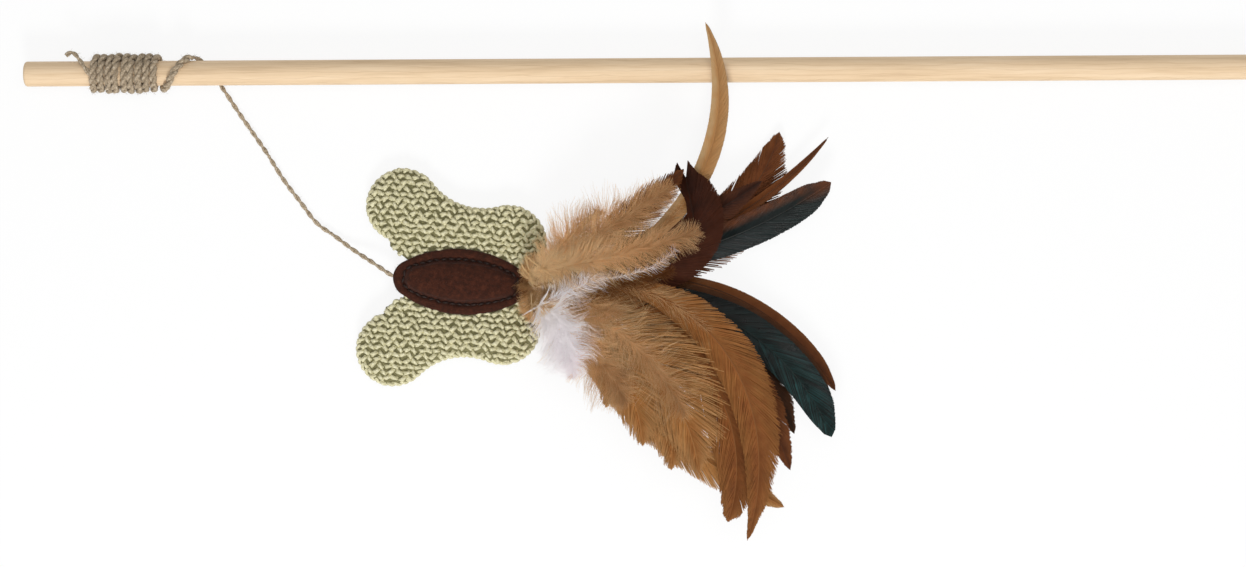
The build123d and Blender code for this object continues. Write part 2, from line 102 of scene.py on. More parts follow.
# %% Camera over the toy
VIEW_MIDDLE = Vector((-0.0590, -0.0025, 0.006))
VIEW_WIDE = 0.3987
LENS, SENSOR = 85.0, 36.0
VIEW_TURN = radians(-0.33)

scene = bpy.context.scene


def link(name, data):
    """A new object in the scene."""
    piece = bpy.data.objects.new(name, data)
    scene.collection.objects.link(piece)
    return piece


camera = link("overhead_camera", bpy.data.cameras.new("overhead_camera"))
camera.data.lens, camera.data.sensor_width = LENS, SENSOR
camera.location = VIEW_MIDDLE + Vector((0, 0, VIEW_WIDE * LENS / SENSOR))
camera.rotation_euler = (0, 0, VIEW_TURN)
scene.camera = camera
scene.view_settings.view_transform = "Standard"
print("camera", round(camera.location.z, 3), "m up")

# %% [markdown]
# ## Nodes, in short
# Every pattern below is a node tree. Writing each node and wire out in full would hide the pattern. So the
# tree that is being made lies on a bench, put sets a node on it, and a sign between two wires sets the math
# node that the sign means.

# %% Node helpers
bench = {}


class Wire:
    """A node's output: its first one, or the one that is named in brackets."""

    def __init__(self, node, socket=None):
        self.node = node
        self.socket = socket or next((one for one in node.outputs if one.enabled), None)

    def __getitem__(self, name):
        return Wire(self.node, enabled(self.node.outputs, name))

    def __add__(self, other):
        return reckon("ADD", self, other)

    def __sub__(self, other):
        return reckon("SUBTRACT", self, other)

    def __rsub__(self, other):
        return reckon("SUBTRACT", other, self)

    def __mul__(self, other):
        return reckon("MULTIPLY", self, other)

    def __truediv__(self, other):
        return reckon("DIVIDE", self, other)


def enabled(sockets, name):
    if isinstance(name, int):
        return sockets[name]
    return next(one for one in sockets if one.name == name and one.enabled)


def feed(node, wires):
    """Links a node's inputs to wires, or sets them to plain values."""
    for name, value in wires.items():
        target = enabled(node.inputs, name)
        if isinstance(value, Wire):
            bench["tree"].links.new(value.socket, target)
        else:
            target.default_value = value


def put(kind, wires=None, **options):
    """A new node on the bench."""
    made = bench["tree"].nodes.new(kind)
    for name, value in options.items():
        setattr(made, name, value)
    feed(made, wires or {})
    return Wire(made)


def is_vector(term):
    return isinstance(term, tuple) or isinstance(term, Wire) and term.socket.type in ("VECTOR", "RGBA")


def reckon(operation, *terms):
    """A math node, or a vector math node if a term is a vector."""
    vectors = [is_vector(term) for term in terms]
    if operation == "MULTIPLY" and sum(vectors) == 1:
        return put("ShaderNodeVectorMath", {0: terms[0], "Scale": terms[1]}, operation="SCALE")
    kind = "ShaderNodeVectorMath" if any(vectors) else "ShaderNodeMath"
    return put(kind, dict(enumerate(terms)), operation=operation)


# %% Group and material helpers
def new_group(name, kind, inputs, outputs):
    """A new node group on the bench, and its inputs."""
    tree = bench["tree"] = bpy.data.node_groups.new(name, kind)
    for way, sockets in (("INPUT", inputs), ("OUTPUT", outputs)):
        for label, sort in sockets.items():
            tree.interface.new_socket(label, in_out=way, socket_type="NodeSocket" + sort)
    return tree, put("NodeGroupInput")


def new_finish(name):
    """A new material with its tree on the bench, and its Principled node."""
    made = bpy.data.materials.new(name)
    made.use_nodes = True
    bench["tree"] = made.node_tree
    return made, made.node_tree.nodes["Principled BSDF"]


# %% [markdown]
# ## Floor and light
# A white sweep lies under the toy. A small soft lamp stands on the near side, so that shadows fall away from
# the viewer, as the feathers' shadows do on the rod, and a broad one hangs overhead. The floor glows a little
# for the camera alone, which makes it white and still leaves a soft shadow.

# %% Floor, lamps and sky
FLOOR_GLOW = 0.86
FLOOR_DROP = -0.3 * MM
SKY_LIGHT = 0.46

floor_mesh = bpy.data.meshes.new("floor")
corners = [(-3, -3), (3, -3), (3, 3), (-3, 3)]
floor_mesh.from_pydata([(x, y, FLOOR_DROP) for x, y in corners], [], [(0, 1, 2, 3)])
floor = link("floor", floor_mesh)
paper, _ = new_finish("white_paper")
paper.node_tree.nodes.clear()
rays = put("ShaderNodeLightPath")
direct = reckon("MAXIMUM", rays["Is Camera Ray"], rays["Is Glossy Ray"])
direct = reckon("MAXIMUM", direct, rays["Is Transmission Ray"])
grain = put("ShaderNodeTexNoise", {"Scale": 900.0, "Detail": 3.0})
tint = put("ShaderNodeMapRange", {"Value": grain, "To Min": 0.90, "To Max": 0.93})
matt = put("ShaderNodeBsdfDiffuse", {"Color": tint})
glow = put("ShaderNodeEmission", {"Strength": 1.0})
mixed = put("ShaderNodeMixShader", {0: direct * FLOOR_GLOW, 1: matt, 2: glow})
put("ShaderNodeOutputMaterial", {"Surface": mixed})
floor.data.materials.append(paper)


def softbox(name, place, size, power):
    lamp = bpy.data.lights.new(name, "AREA")
    lamp.shape, lamp.size, lamp.energy = "DISK", size, power
    holder = link(name, lamp)
    holder.location = place
    holder.rotation_euler = (VIEW_MIDDLE - Vector(place)).to_track_quat("-Z", "Y").to_euler()


softbox("near_softbox", (-0.12, -0.74, 0.62), 0.28, 5.4)
softbox("overhead_softbox", (0.05, 0.10, 1.10), 0.70, 3.8)
sky = bpy.data.worlds.new("studio")
sky.use_nodes = True
feed(sky.node_tree.nodes["Background"], {"Color": (1, 1, 1, 1), "Strength": SKY_LIGHT})
scene.world = sky

# %% [markdown]
# ## Shared finishes
# Wood, twine, yarn, felt and down are all bundles of fibres. One shader group draws fibres at any scale and
# stretch and hands out a tone and a height. Colours are mixed from the tone in each material, so a bundle
# never has one flat colour.

# %% Fibre group and colour helpers
fibres, given = new_group(
    "fibres", "ShaderNodeTree", {"Scale": "Float", "Stretch": "Vector", "Streak": "Float"},
    {"Tone": "Float", "Height": "Float"})
drawn = put("ShaderNodeTexCoord")["Object"] * given["Stretch"]
broad = put("ShaderNodeTexNoise", {"Vector": drawn, "Scale": given["Scale"], "Detail": 4.0})
fine = put("ShaderNodeTexNoise", {"Vector": drawn, "Scale": given["Scale"] * 5.0, "Detail": 3.0})
tone = put("ShaderNodeMix", {"Factor": given["Streak"], "A": broad, "B": fine})
clear = put("ShaderNodeMapRange", {"Value": tone, "From Min": 0.3, "From Max": 0.7})
put("NodeGroupOutput", {"Tone": clear, "Height": fine})


def linear(red, green, blue):
    """A colour as a screen names it, turned into the light that a shader wants."""
    parts = [v / 255 for v in (red, green, blue)]
    return tuple(v / 12.92 if v <= 0.04045 else ((v + 0.055) / 1.055) ** 2.4 for v in parts) + (1.0,)


def ramp(value, stops):
    """A colour ramp through (place, colour) stops."""
    made = put("ShaderNodeValToRGB", {"Fac": value})
    elements = made.node.color_ramp.elements
    while len(elements) < len(stops):
        elements.new(0.5)
    for element, (at, colour) in zip(elements, stops):
        element.position, element.color = at, linear(*colour)
    return made


def laid_over(under, colour, by):
    return put("ShaderNodeMix", {"Factor": by, "A": under, "B": linear(*colour)}, data_type="RGBA")


def colour_of(skin):
    """The wire that feeds a finish's colour now."""
    wire = skin.inputs["Base Color"].links[0]
    return Wire(wire.from_node, wire.from_socket)


def fibre_finish(name, stops, scale, stretch=(1, 1, 1), streak=0.5, rough=0.9, bump=0.3, depth=0.2 * MM,
                 sheen=0.0):
    """A fibrous material: a ramp over the tone, and the fine fibres as a bump."""
    made, skin = new_finish(name)
    web = put("ShaderNodeGroup", {"Scale": scale, "Stretch": stretch, "Streak": streak}, node_tree=fibres)
    dent = put("ShaderNodeBump", {"Strength": bump, "Distance": depth, "Height": web["Height"]})
    feed(skin, {"Base Color": ramp(web["Tone"], stops), "Normal": dent, "Roughness": rough,
                "Specular IOR Level": 0.25, "Sheen Weight": sheen, "Sheen Roughness": 0.4})
    return made


twine_finish = fibre_finish(
    "twine_fibre", [(0.0, (96, 82, 65)), (0.5, (168, 150, 125)), (1.0, (230, 216, 194))],
    1500, rough=0.95, bump=0.5, sheen=0.15)
yarn_finish = fibre_finish(
    "knit_yarn", [(0.0, (160, 155, 118)), (0.45, (208, 202, 164)), (1.0, (238, 234, 206))],
    1500, streak=0.4, rough=0.5, bump=0.4, sheen=0.1)
# The pad under the loops: olive darker than the yarn, painted shade for the gaps between loops.
shaded_backing_finish = fibre_finish(
    "knit_backing_painted_shade", [(0.0, (92, 88, 58)), (1.0, (140, 135, 98))], 1800, rough=0.95, bump=0.5)
felt_finish = fibre_finish(
    "felt_wool", [(0.0, (38, 18, 9)), (0.5, (58, 27, 15)), (1.0, (82, 42, 26))],
    700, streak=0.45, rough=0.98, bump=0.6, depth=0.3 * MM, sheen=0.1)
thread_finish = fibre_finish(
    "seam_thread_fibre", [(0.0, (18, 11, 9)), (1.0, (56, 38, 32))], 4000, rough=0.45, bump=0.3)
print("fibre finishes", [one.name for one in bpy.data.materials])

# %% [markdown]
# ## Rod
# A pale, sanded dowel with fine grain along its length and a few darker lines. The solid's shape is right,
# so it keeps its mesh and only gets the wood: noise drawn out along the rod, and wavy lines over it.

# %% Wood on the dowel
wood = fibre_finish(
    "sanded_pale_wood", [(0.0, (206, 178, 143)), (0.4, (224, 196, 160)), (1.0, (236, 211, 178))],
    420, stretch=(0.045, 1, 1), streak=0.35, rough=0.62, bump=0.18)
skin = wood.node_tree.nodes["Principled BSDF"]
place = put("ShaderNodeTexCoord")["Object"]
long_way = put("ShaderNodeMapping", {"Vector": place, "Scale": (0.35, 1.0, 1.0)})
lines = put("ShaderNodeTexWave", {"Vector": long_way, "Scale": 190.0, "Distortion": 5.0, "Detail": 3.0},
            bands_direction="Y")
thin = put("ShaderNodeMapRange", {"Value": lines["Fac"], "From Min": 0.9, "From Max": 1.0, "To Max": 0.25})
feed(skin, {"Base Color": laid_over(colour_of(skin), (186, 153, 116), thin)})
rod = frame["nodes"]["wand_rod"]
rod.data.materials.clear()
rod.data.materials.append(wood)
print("rod wears", rod.data.materials[0].name)

# %% [markdown]
# ## Growing things on paths
# Twine, stitches and barbs follow a line, so Geometry Nodes make them. A tree gets a line as a mesh of
# edges, its sizes as named inputs, and ends in real faces with a material. The helper reads the result off
# as a plain mesh and throws the tree's holder away. The name given always stands for the inputs of the tree
# that is on the bench.

# %% Tree helpers
def new_tree(name, **inputs):
    return new_group(name, "GeometryNodeTree", {"Geometry": "Geometry", **inputs}, {"Geometry": "Geometry"})


def geo(kind, wires=None, **options):
    return put("GeometryNode" + kind, wires, **options)


def end_tree(shape):
    smooth = geo("SetShadeSmooth", {"Geometry": geo("RealizeInstances", {"Geometry": shape})})
    put("NodeGroupOutput", {0: geo("SetMaterial", {"Geometry": smooth, "Material": given["Finish"]})})


def joined(*shapes):
    made = geo("JoinGeometry")
    for shape in reversed(shapes):
        feed(made.node, {0: shape})
    return made


def stepped(line, step):
    return geo("ResampleCurve", {"Curve": line, "Length": step}, mode="LENGTH")


def counted(line, count):
    return geo("ResampleCurve", {"Curve": line, "Count": count}, mode="COUNT")


def straight(end, count, start=(0, 0, 0)):
    line = geo("CurvePrimitiveLine", {"Start": start, "End": end})
    return counted(line, count)


def moved(shape, by):
    return geo("SetPosition", {"Geometry": shape, "Offset": by})


def tube(line, sides, radius, scale=1.0, flat=1.0):
    """A tube along a line, with closed ends."""
    ring = geo("CurvePrimitiveCircle", {"Resolution": sides, "Radius": radius})
    if flat < 1.0:
        ring = geo("Transform", {"Geometry": ring, "Scale": (1.0, flat, 1.0)})
    return geo("CurveToMesh", {"Curve": line, "Profile Curve": ring, "Scale": scale, "Fill Caps": True})


def xyz(**parts):
    return put("ShaderNodeCombineXYZ", parts)


def height_of(vector):
    return put("ShaderNodeSeparateXYZ", {0: vector})["Z"]


def above(value, least):
    return put("FunctionNodeCompare", {"A": value, "B": least}, data_type="FLOAT", operation="GREATER_THAN")


def chance(low, high, seed):
    """A random number for each point, or a random vector."""
    kind = "FLOAT_VECTOR" if isinstance(low, tuple) else "FLOAT"
    return put("FunctionNodeRandomValue", {"Min": low, "Max": high, "Seed": seed}, data_type=kind)


def turned_to(first, first_axis, second, second_axis):
    return put("FunctionNodeAxesToRotation", {"Primary Axis": first, "Secondary Axis": second},
               primary_axis=first_axis, secondary_axis=second_axis)


# %% Mesh helpers
FLOOR_TOP = 0.02 * MM


def as_seen(holder):
    """A new mesh of what an object's modifiers show."""
    return bpy.data.meshes.new_from_object(holder.evaluated_get(bpy.context.evaluated_depsgraph_get()))


def rested(mesh):
    """The mesh with nothing below the floor: what would hang lower is pressed flat."""
    places = np.empty(len(mesh.vertices) * 3)
    mesh.vertices.foreach_get("co", places)
    places[2::3] = np.maximum(places[2::3], FLOOR_TOP)
    mesh.vertices.foreach_set("co", places)
    return mesh


def grow(name, source, tree, **values):
    """The plain mesh that a tree makes of a source mesh."""
    holder = link(name + "_source", source)
    modifier = holder.modifiers.new(tree.name, "NODES")
    modifier.node_group = tree
    for item in tree.interface.items_tree:
        if item.in_out == "INPUT" and item.name in values:
            modifier[item.identifier] = values[item.name]
    mesh = as_seen(holder)
    mesh.name = name
    bpy.data.objects.remove(holder)
    return rested(mesh)


def line_mesh(name, points, **numbers):
    """A row of edges through points, with a number for each point under each name."""
    mesh = bpy.data.meshes.new(name)
    mesh.from_pydata([tuple(p) for p in points], [(i, i + 1) for i in range(len(points) - 1)], [])
    for label, values in numbers.items():
        mesh.attributes.new(label, "FLOAT", "POINT").data.foreach_set("value", values)
    return mesh


def merged(name, *meshes):
    """Several meshes as one piece, materials kept."""
    parts = [link(name + "_part", mesh) for mesh in meshes]
    with bpy.context.temp_override(active_object=parts[0], selected_editable_objects=parts):
        bpy.ops.object.join()
    parts[0].name = parts[0].data.name = name
    return parts[0]


def mesh_of(piece):
    """A piece's mesh, with its object thrown away."""
    mesh = piece.data
    bpy.data.objects.remove(piece)
    return mesh


def length_of(points):
    return sum((b - a).length for a, b in zip(points, points[1:]))


def triangles(piece):
    return sum(len(face.vertices) - 2 for face in piece.data.polygons)


def settle(piece, slot, *nodes, body=None):
    """Has a piece take its solids' place and ride on a body, if one is named. Its slot is not used."""
    if body:
        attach(piece, body)
    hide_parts(*nodes)
    print(piece.name, triangles(piece), "triangles")


# %% [markdown]
# ## Loose fibres
# Twine and felt are never quite smooth: short fibres stand off them and soften every edge. Two helpers make
# one bent hair and scatter it over a surface, leaning any way but far inwards.

# %% Hair helpers
def bent_hair(count, bend, radius, thinning=0.0):
    """One hair, one unit long, standing up and bending over."""
    part = geo("SplineParameter")
    line = moved(straight((0, 0, 1), count), xyz(X=reckon("POWER", part, 2.0)) * bend)
    return tube(line, 3, radius, part * -thinning + 1.0)


def scattered(hair, mesh, density, length, shortest, lowest=-1.0, lean=1.0, facing_up=-2.0):
    """Hairs over a mesh, on faces that face up enough."""
    seed = given["Seed"]
    roots = geo("DistributePointsOnFaces", {"Mesh": mesh, "Density": density, "Seed": seed})
    way = roots["Normal"] + chance((-1, -1, lowest), (1, 1, 1), seed) * lean
    return geo("InstanceOnPoints", {
        "Points": roots, "Selection": above(height_of(roots["Normal"]), facing_up), "Instance": hair,
        "Rotation": put("FunctionNodeAlignRotationToVector", {"Vector": way}, axis="Z"),
        "Scale": chance(shortest, 1.0, seed) * length})


# %% [markdown]
# ## Twine
# Two soft plies twist round each other, with stray fibres all along. A tube with a twisted picture would
# stay round in outline, so each ply is its own tube on a helix about the line.

# %% Twine tree
TWINE = 1.5 * MM
PLY_SHARE, PLY_OFF_SHARE = 0.262, 0.235

twine_tree, given = new_tree(
    "twisted_twine", Ply="Float", Offset="Float", Lay="Float", Step="Float", Fuzz="Float", Hair="Float",
    Seed="Int", Finish="Material")
line = stepped(geo("MeshToCurve", {"Mesh": given["Geometry"]}), given["Step"])
aside = geo("InputNormal")
upward = reckon("CROSS_PRODUCT", geo("InputTangent"), aside)
done = geo("SplineParameter")["Length"]
uneven = put("ShaderNodeTexNoise", {"Vector": geo("InputPosition"), "Scale": 260.0, "Detail": 1.0})
plies = []
for start in (0.0, pi):
    turn = uneven * 1.6 + (done / given["Lay"] * tau + start)
    out = aside * reckon("COSINE", turn) + upward * reckon("SINE", turn)
    plies.append(tube(moved(line, out * given["Offset"]), 8, given["Ply"]))
yarn = joined(*plies)
hairs = scattered(bent_hair(4, 0.5, 0.028), yarn, given["Fuzz"], given["Hair"], 0.35, lowest=-0.3,
                  facing_up=-0.3)
end_tree(joined(yarn, hairs))


def twine(name, points, across=TWINE, seed=1, fuzz=1.0e6, hair=1.1 * MM, finish=twine_finish, lay=4.6,
          step=0.2):
    """Two-ply twine along points. Its lay is one whole twist and its step one ring, in widths of twine."""
    mesh = grow(name, line_mesh(name, points), twine_tree, Ply=across * PLY_SHARE,
                Offset=across * PLY_OFF_SHARE, Lay=across * lay, Step=across * step, Fuzz=fuzz, Hair=hair,
                Seed=seed, Finish=finish)
    return link(name, mesh)


print("twine tree", len(twine_tree.nodes), "nodes")

# %% [markdown]
# ## Winding, loose turn and tail
# Nine turns lie side by side and end in one loose turn across the rod's face. By hand they never lie quite
# even, so each turn wanders a little along the rod and swells towards the middle. The last quarter is a
# piece of its own.

# %% Twine round the rod
WOUND = 2.5 * MM
WOUND_RADIUS = ROD_RADIUS + 1.0 * MM
FIRST_TURN = 21.4 * MM
TURN_PITCH, LOOSE_PITCH = 2.4 * MM, 22.0 * MM
EASE_FIRST, EASE_NEXT = 1.425 * MM, 3.875 * MM
LAST_TIGHT_DEG, TURN_END_DEG, ROOT_END_DEG = 3060, 3330, 3400


def on_rod(turn_deg, along, radius):
    turn = radians(turn_deg)
    return wand_point(along, radius * sin(turn), rod_tip.z + radius * cos(turn))


def wound_along(turn_deg):
    """How far along the rod the twine is after so many degrees of winding."""
    tight = FIRST_TURN + TURN_PITCH * (min(turn_deg, LAST_TIGHT_DEG) + 180) / 360
    loose = max(turn_deg - LAST_TIGHT_DEG, 0)
    eased = (EASE_FIRST * min(loose, 90) + EASE_NEXT * min(max(loose - 90, 0), 90)) / 90
    return tight + eased + LOOSE_PITCH * max(loose - 180, 0) / 360


def uneven_turn(turn_deg):
    """A wandering place on the winding, fuller in its middle and tidy at both ends."""
    turn = radians(turn_deg)
    calm = sin(pi * min(max((turn_deg + 180) / 3240, 0), 1))
    sway = calm * (0.20 * sin(turn * 0.53 + 1.1) + 0.16 * sin(turn * 1.31))
    swell = calm * (0.32 + 0.28 * sin(turn * 0.71 + 0.4))
    return on_rod(turn_deg, wound_along(turn_deg) + sway * MM, WOUND_RADIUS + swell * MM)


turns = [uneven_turn(d) for d in range(-230, TURN_END_DEG + 1, 12)]
settle(twine("twine_winding_strands", turns, WOUND, seed=3, lay=2.4), "twine", "twine_winding", body="wand")
last_turn = [on_rod(d, wound_along(d), WOUND_RADIUS - 0.2 * MM * (d - TURN_END_DEG) / 70)
             for d in range(TURN_END_DEG - 3, ROOT_END_DEG + 1, 6)]
quarter = twine("twine_last_quarter", last_turn, 1.7 * MM, seed=5)
tuple(wand_point(wound_along(TURN_END_DEG), 0, rod_tip.z))
tuple(wand_point(wound_along(ROOT_END_DEG - 12), 0, rod_tip.z))
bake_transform(quarter)

# %% Trapped tail
ROUTE_ORDER, ROUTE_FINE = 3, 16
# degrees round the rod, millimetres along it and out from its axis
TAIL_ROUTE = [(-20, 22.2, 4.7), (8, 20.6, 4.8), (24, 19.8, 4.9), (42, 18.6, 5.4), (60, 17.2, 6.4),
              (69, 15.8, 7.2), (66, 14.6, 7.1), (60, 13.8, 6.4)]


def smooth_line(points):
    """Places along the NURBS curve with these control points."""
    curve = bpy.data.curves.new("route", "CURVE")
    curve.dimensions, curve.resolution_u = "3D", ROUTE_FINE
    spline = curve.splines.new("NURBS")
    spline.points.add(len(points) - 1)
    for control, place in zip(spline.points, points):
        control.co = (*place, 1.0)
    spline.order_u = ROUTE_ORDER
    spline.use_endpoint_u = True
    holder = link("route", curve)
    mesh = as_seen(holder)
    bpy.data.objects.remove(holder)
    places = [vertex.co.copy() for vertex in mesh.vertices]
    bpy.data.meshes.remove(mesh)
    return places


tail_line = smooth_line([on_rod(turn, along * MM, radius * MM) for turn, along, radius in TAIL_ROUTE])
settle(twine("twine_tail_strands", tail_line, seed=8, fuzz=1.6e6), "twine", "twine_tail", body="wand")

# %% [markdown]
# ## Free cord
# About a hand's breadth of the same twine, limp, lies on the floor from under the rod to the toy. It is one
# smooth curve through the route's points. The curve is cut into three pieces, with the cuts set from where
# the cord's joints lie.

# %% Cord route
CORD_LOW = 0.77
# in millimetres: round the rod (degrees, along, radius), then over the floor and up to the toy
# (along, out, height)
ROOT_ROUTE = [(145, 57.16, 4.8), (160, 58.08, 4.8), (175, 58.99, 4.8)]
FLOOR_ROUTE = [(62.23, -4.0), (68.6, -13.9), (76.3, -24.8), (82.0, -34.4), (87.8, -41.8), (92.5, -48.5)]
RISING_ROUTE = [(97.9, -51.9, 0.77), (104.0, -56.6, 1.83), (109.4, -60.0, 3.82), (113.9, -63.0, 5.0)]
HEAD_ROUTE = (0, 4.5, 8.75)

route = [on_rod(turn, along * MM, radius * MM) for turn, along, radius in ROOT_ROUTE]
over_floor = [(along, out, CORD_LOW) for along, out in FLOOR_ROUTE] + RISING_ROUTE
route += [wand_point(*(part * MM for part in place)) for place in over_floor]
route += [toy_point(along * MM, 0, TOY_MID) for along in HEAD_ROUTE]
cord_line = smooth_line(route)
cord_run = np.concatenate([[0], np.cumsum([(b - a).length for a, b in zip(cord_line, cord_line[1:])])])


def cord_at(point):
    """How far along the cord its line passes nearest to a point."""
    return cord_run[min(range(len(cord_line)), key=lambda i: (cord_line[i] - Vector(point)).length)]


def cord_place(run):
    return Vector([float(np.interp(run, cord_run, [p[k] for p in cord_line])) for k in range(3)])


def cord_cut(start, end):
    inner = [p for p, run in zip(cord_line, cord_run) if start + 0.4 * MM < run < end - 0.4 * MM]
    return [cord_place(start), *inner, cord_place(end)]


swing, kink, swivel = (cord_at(joints[name]["pos_m"]) for name in ("cord_swing", "cord_bend", "toy_swivel"))
print("cord", round(cord_run[-1] / MM, 1), "mm, hinges at", [round(v / MM, 1) for v in (swing, kink, swivel)])

# %% Cord pieces
cuts = [0.0, (swing + kink) / 2, kink + 5.5 * MM, cord_run[-1]]
CORD_PIECES = [
    ("cord_near_rod", "cord_root", "cord_upper", swing, ("cord_root",)),
    ("cord_middle", "cord_upper", "cord_lower", kink, ("cord_upper", "cord_lower")),
    ("cord_near_toy", "cord_lower", "toy", swivel, ("cord_end",)),
]
for index, (name, before, after, hinge, nodes) in enumerate(CORD_PIECES):
    points = cord_cut(cuts[index], cuts[index + 1])
    piece = twine(name, points, TWINE, seed=11 + index, fuzz=0.8e6, hair=0.9 * MM)
    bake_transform(piece)
    settle(piece, "twine", *nodes)
    length_of(points)
    print(name, round(length_of(points) / MM, 1), "mm")

# %% [markdown]
# ## Stopper knot
# Inside the felt the twine ends in an overhand knot. Nobody sees it, but an opened model should show a knot
# and not a ball: a trefoil line drawn with the same twine.

# %% Knot
KNOT_SIZE = 0.36 * MM
knot_low, knot_high = (Vector(corner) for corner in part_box("stopper_knot"))
knot_middle = (knot_low + knot_high) / 2
trefoil = [Vector((sin(t) + 2 * sin(2 * t), cos(t) - 2 * cos(2 * t), -1.6 * sin(3 * t)))
           for t in (tau * step / 60 for step in range(61))]
knot_points = [knot_middle + KNOT_SIZE * place for place in trefoil]
knot = twine("stopper_knot_twine", knot_points, 0.9 * MM, seed=17, fuzz=0.0)
settle(knot, "twine", "stopper_knot", body="toy")

# %% [markdown]
# ## Wings: the padded shape
# Each wing is two knitted panels, sewn together round the edge and stuffed. The outline is three round
# curves: tip, hollow neck and shoulder. A thin shell with that outline is remeshed evenly and blown up as
# cloth while its sewn edge is held, which gives the soft crown that a stuffed panel has.

# %% Wing outline
TIP, TIP_RADIUS = (1.5, 11.15), 11.6
SHOULDER, SHOULDER_RADIUS = (36.0, 1.35), 12.0
NECK, NECK_RADIUS = (25.765, 32.27), 20.57
FRONT = (-2.0, 0.0)
DROOP = radians(6)


def bearing(a, b):
    return degrees(atan2(b[1] - a[1], b[0] - a[0]))


def arc(centre, radius, start, end, count):
    turns = [radians(start + (end - start) * k / count) for k in range(count + 1)]
    return [(centre[0] + radius * cos(t), centre[1] + radius * sin(t)) for t in turns]


def wing_outline(inset):
    """Corners in millimetres, along from the toy's head and out from the hinge line."""
    lead = bearing(TIP, FRONT) % 360 - degrees(acos(TIP_RADIUS / hypot(FRONT[0] - TIP[0], TIP[1])))
    tip_r, neck_r, shoulder_r = TIP_RADIUS - inset, NECK_RADIUS + inset, SHOULDER_RADIUS - inset
    front_x = TIP[0] + (tip_r - (inset - TIP[1]) * sin(radians(lead))) / cos(radians(lead))
    rear = degrees(atan2(inset - SHOULDER[1], sqrt(shoulder_r ** 2 - (inset - SHOULDER[1]) ** 2)))
    corners = [(front_x, inset)]
    corners += arc(TIP, tip_r, lead, bearing(TIP, NECK), 44)
    corners += arc(NECK, neck_r, bearing(TIP, NECK) - 180, bearing(SHOULDER, NECK) - 180, 16)[1:]
    return corners + arc(SHOULDER, shoulder_r, bearing(SHOULDER, NECK), rear, 26)[1:]


def ringed(name, rings, finish=None):
    """A closed mesh through rings of equally many points, with a face at each end."""
    count = len(rings[0])
    faces = [tuple(reversed(range(count)))]
    for low in range(0, count * (len(rings) - 1), count):
        for k in range(count):
            after = (k + 1) % count
            faces.append((low + k, low + after, low + count + after, low + count + k))
    faces.append(tuple(range(count * (len(rings) - 1), count * len(rings))))
    mesh = bpy.data.meshes.new(name)
    mesh.from_pydata([tuple(p) for ring in rings for p in ring], [], faces)
    shape = bmesh.new()
    shape.from_mesh(mesh)
    bmesh.ops.recalc_face_normals(shape, faces=shape.faces)
    shape.to_mesh(mesh)
    shape.free()
    if finish:
        mesh.materials.append(finish)
    return mesh


EDGE = wing_outline(0)
print("wing outline", len(EDGE), "corners")

# %% Stuffing by cloth
SIM_SCALE = 20.0
SIM_STEPS = 20


def stuffed(name, mesh, voxel, pressure, most, held):
    """A closed shell remeshed evenly and blown up. The cloth works at the size of a cushion."""
    shell = link(name, mesh)
    mesh.transform(Matrix.Scale(SIM_SCALE, 4))
    even = shell.modifiers.new("even", "REMESH")
    even.mode, even.voxel_size = "VOXEL", voxel * SIM_SCALE
    flat = as_seen(shell)
    shell.modifiers.clear()
    shell.data = flat
    before = after = np.array([vertex.co for vertex in flat.vertices])
    seam = shell.vertex_groups.new(name="seam")
    seam.add([k for k, place in enumerate(before / SIM_SCALE) if held(place)], 1.0, "REPLACE")
    cloth = shell.modifiers.new("stuffing", "CLOTH").settings
    cloth.use_pressure = True
    cloth.uniform_pressure_force = pressure
    cloth.vertex_group_mass = "seam"
    cloth.effector_weights.gravity = 0
    for step in range(1, SIM_STEPS + 1):
        scene.frame_set(step)
    blown = shell.evaluated_get(bpy.context.evaluated_depsgraph_get()).data
    after = np.array([vertex.co for vertex in blown.vertices])
    shell.modifiers.clear()
    scene.frame_set(1)
    move = after - before
    reach = np.linalg.norm(move, axis=1, keepdims=True)
    move *= np.minimum(1, most * SIM_SCALE / np.maximum(reach, 1e-9))
    flat.vertices.foreach_set("co", ((before + move) / SIM_SCALE).ravel())
    round_off = shell.modifiers.new("round", "SUBSURF")
    round_off.levels = round_off.render_levels = 1
    soft = as_seen(shell)
    bpy.data.objects.remove(shell)
    print(name, "points", len(before), "largest move", round(float(reach.max()) / SIM_SCALE / MM, 2), "mm")
    return soft


# %% Wing pads
PAD_PROFILE = [(0.0, 0.35), (0.25, 0.75), (0.9, 1.15), (2.0, 1.5), (3.2, 1.72), (4.3, 1.8)]
FLANGE, FLANGE_HALF = 2.7, 0.62
SEWN_WIDE = 0.9


def level_ring(corners, height):
    return [(x * MM, y * MM, height * MM) for x, y in corners]


rings = [level_ring(wing_outline(inset), -height) for inset, height in reversed(PAD_PROFILE)]
rings += [level_ring(wing_outline(inset), height) for inset, height in PAD_PROFILE]
front_x, rear_x = EDGE[0][0], EDGE[-1][0]
flange = [(front_x, 0.8), (front_x, -FLANGE), (rear_x - 0.6, -FLANGE), (rear_x, 0.8)]
wing_shell = mesh_of(merged("wing_shell", ringed("wing_shell", rings), ringed(
    "flange", [level_ring(flange, height) for height in (-FLANGE_HALF, FLANGE_HALF)])))


def sewn(place):
    """Points on the sewn edge and on the flange, which the stuffing can't lift."""
    x, y, z = place / MM
    return y < 0.4 or min(hypot(x - a, y - b) for a, b in EDGE[::2]) < SEWN_WIDE


def on_wing(place, side):
    """From the flat wing to its place beside the body, drooping from the hinge line on."""
    x, y, z = place
    if y > 0:
        y, z = y * cos(DROOP) + z * sin(DROOP), z * cos(DROOP) - y * sin(DROOP)
    return toy_point(x, side * (HINGE_OUT + y), TOY_MID + z)


wing_pad = stuffed("wing_pad", wing_shell, 0.8 * MM, 6.0, 1.3 * MM, sewn)
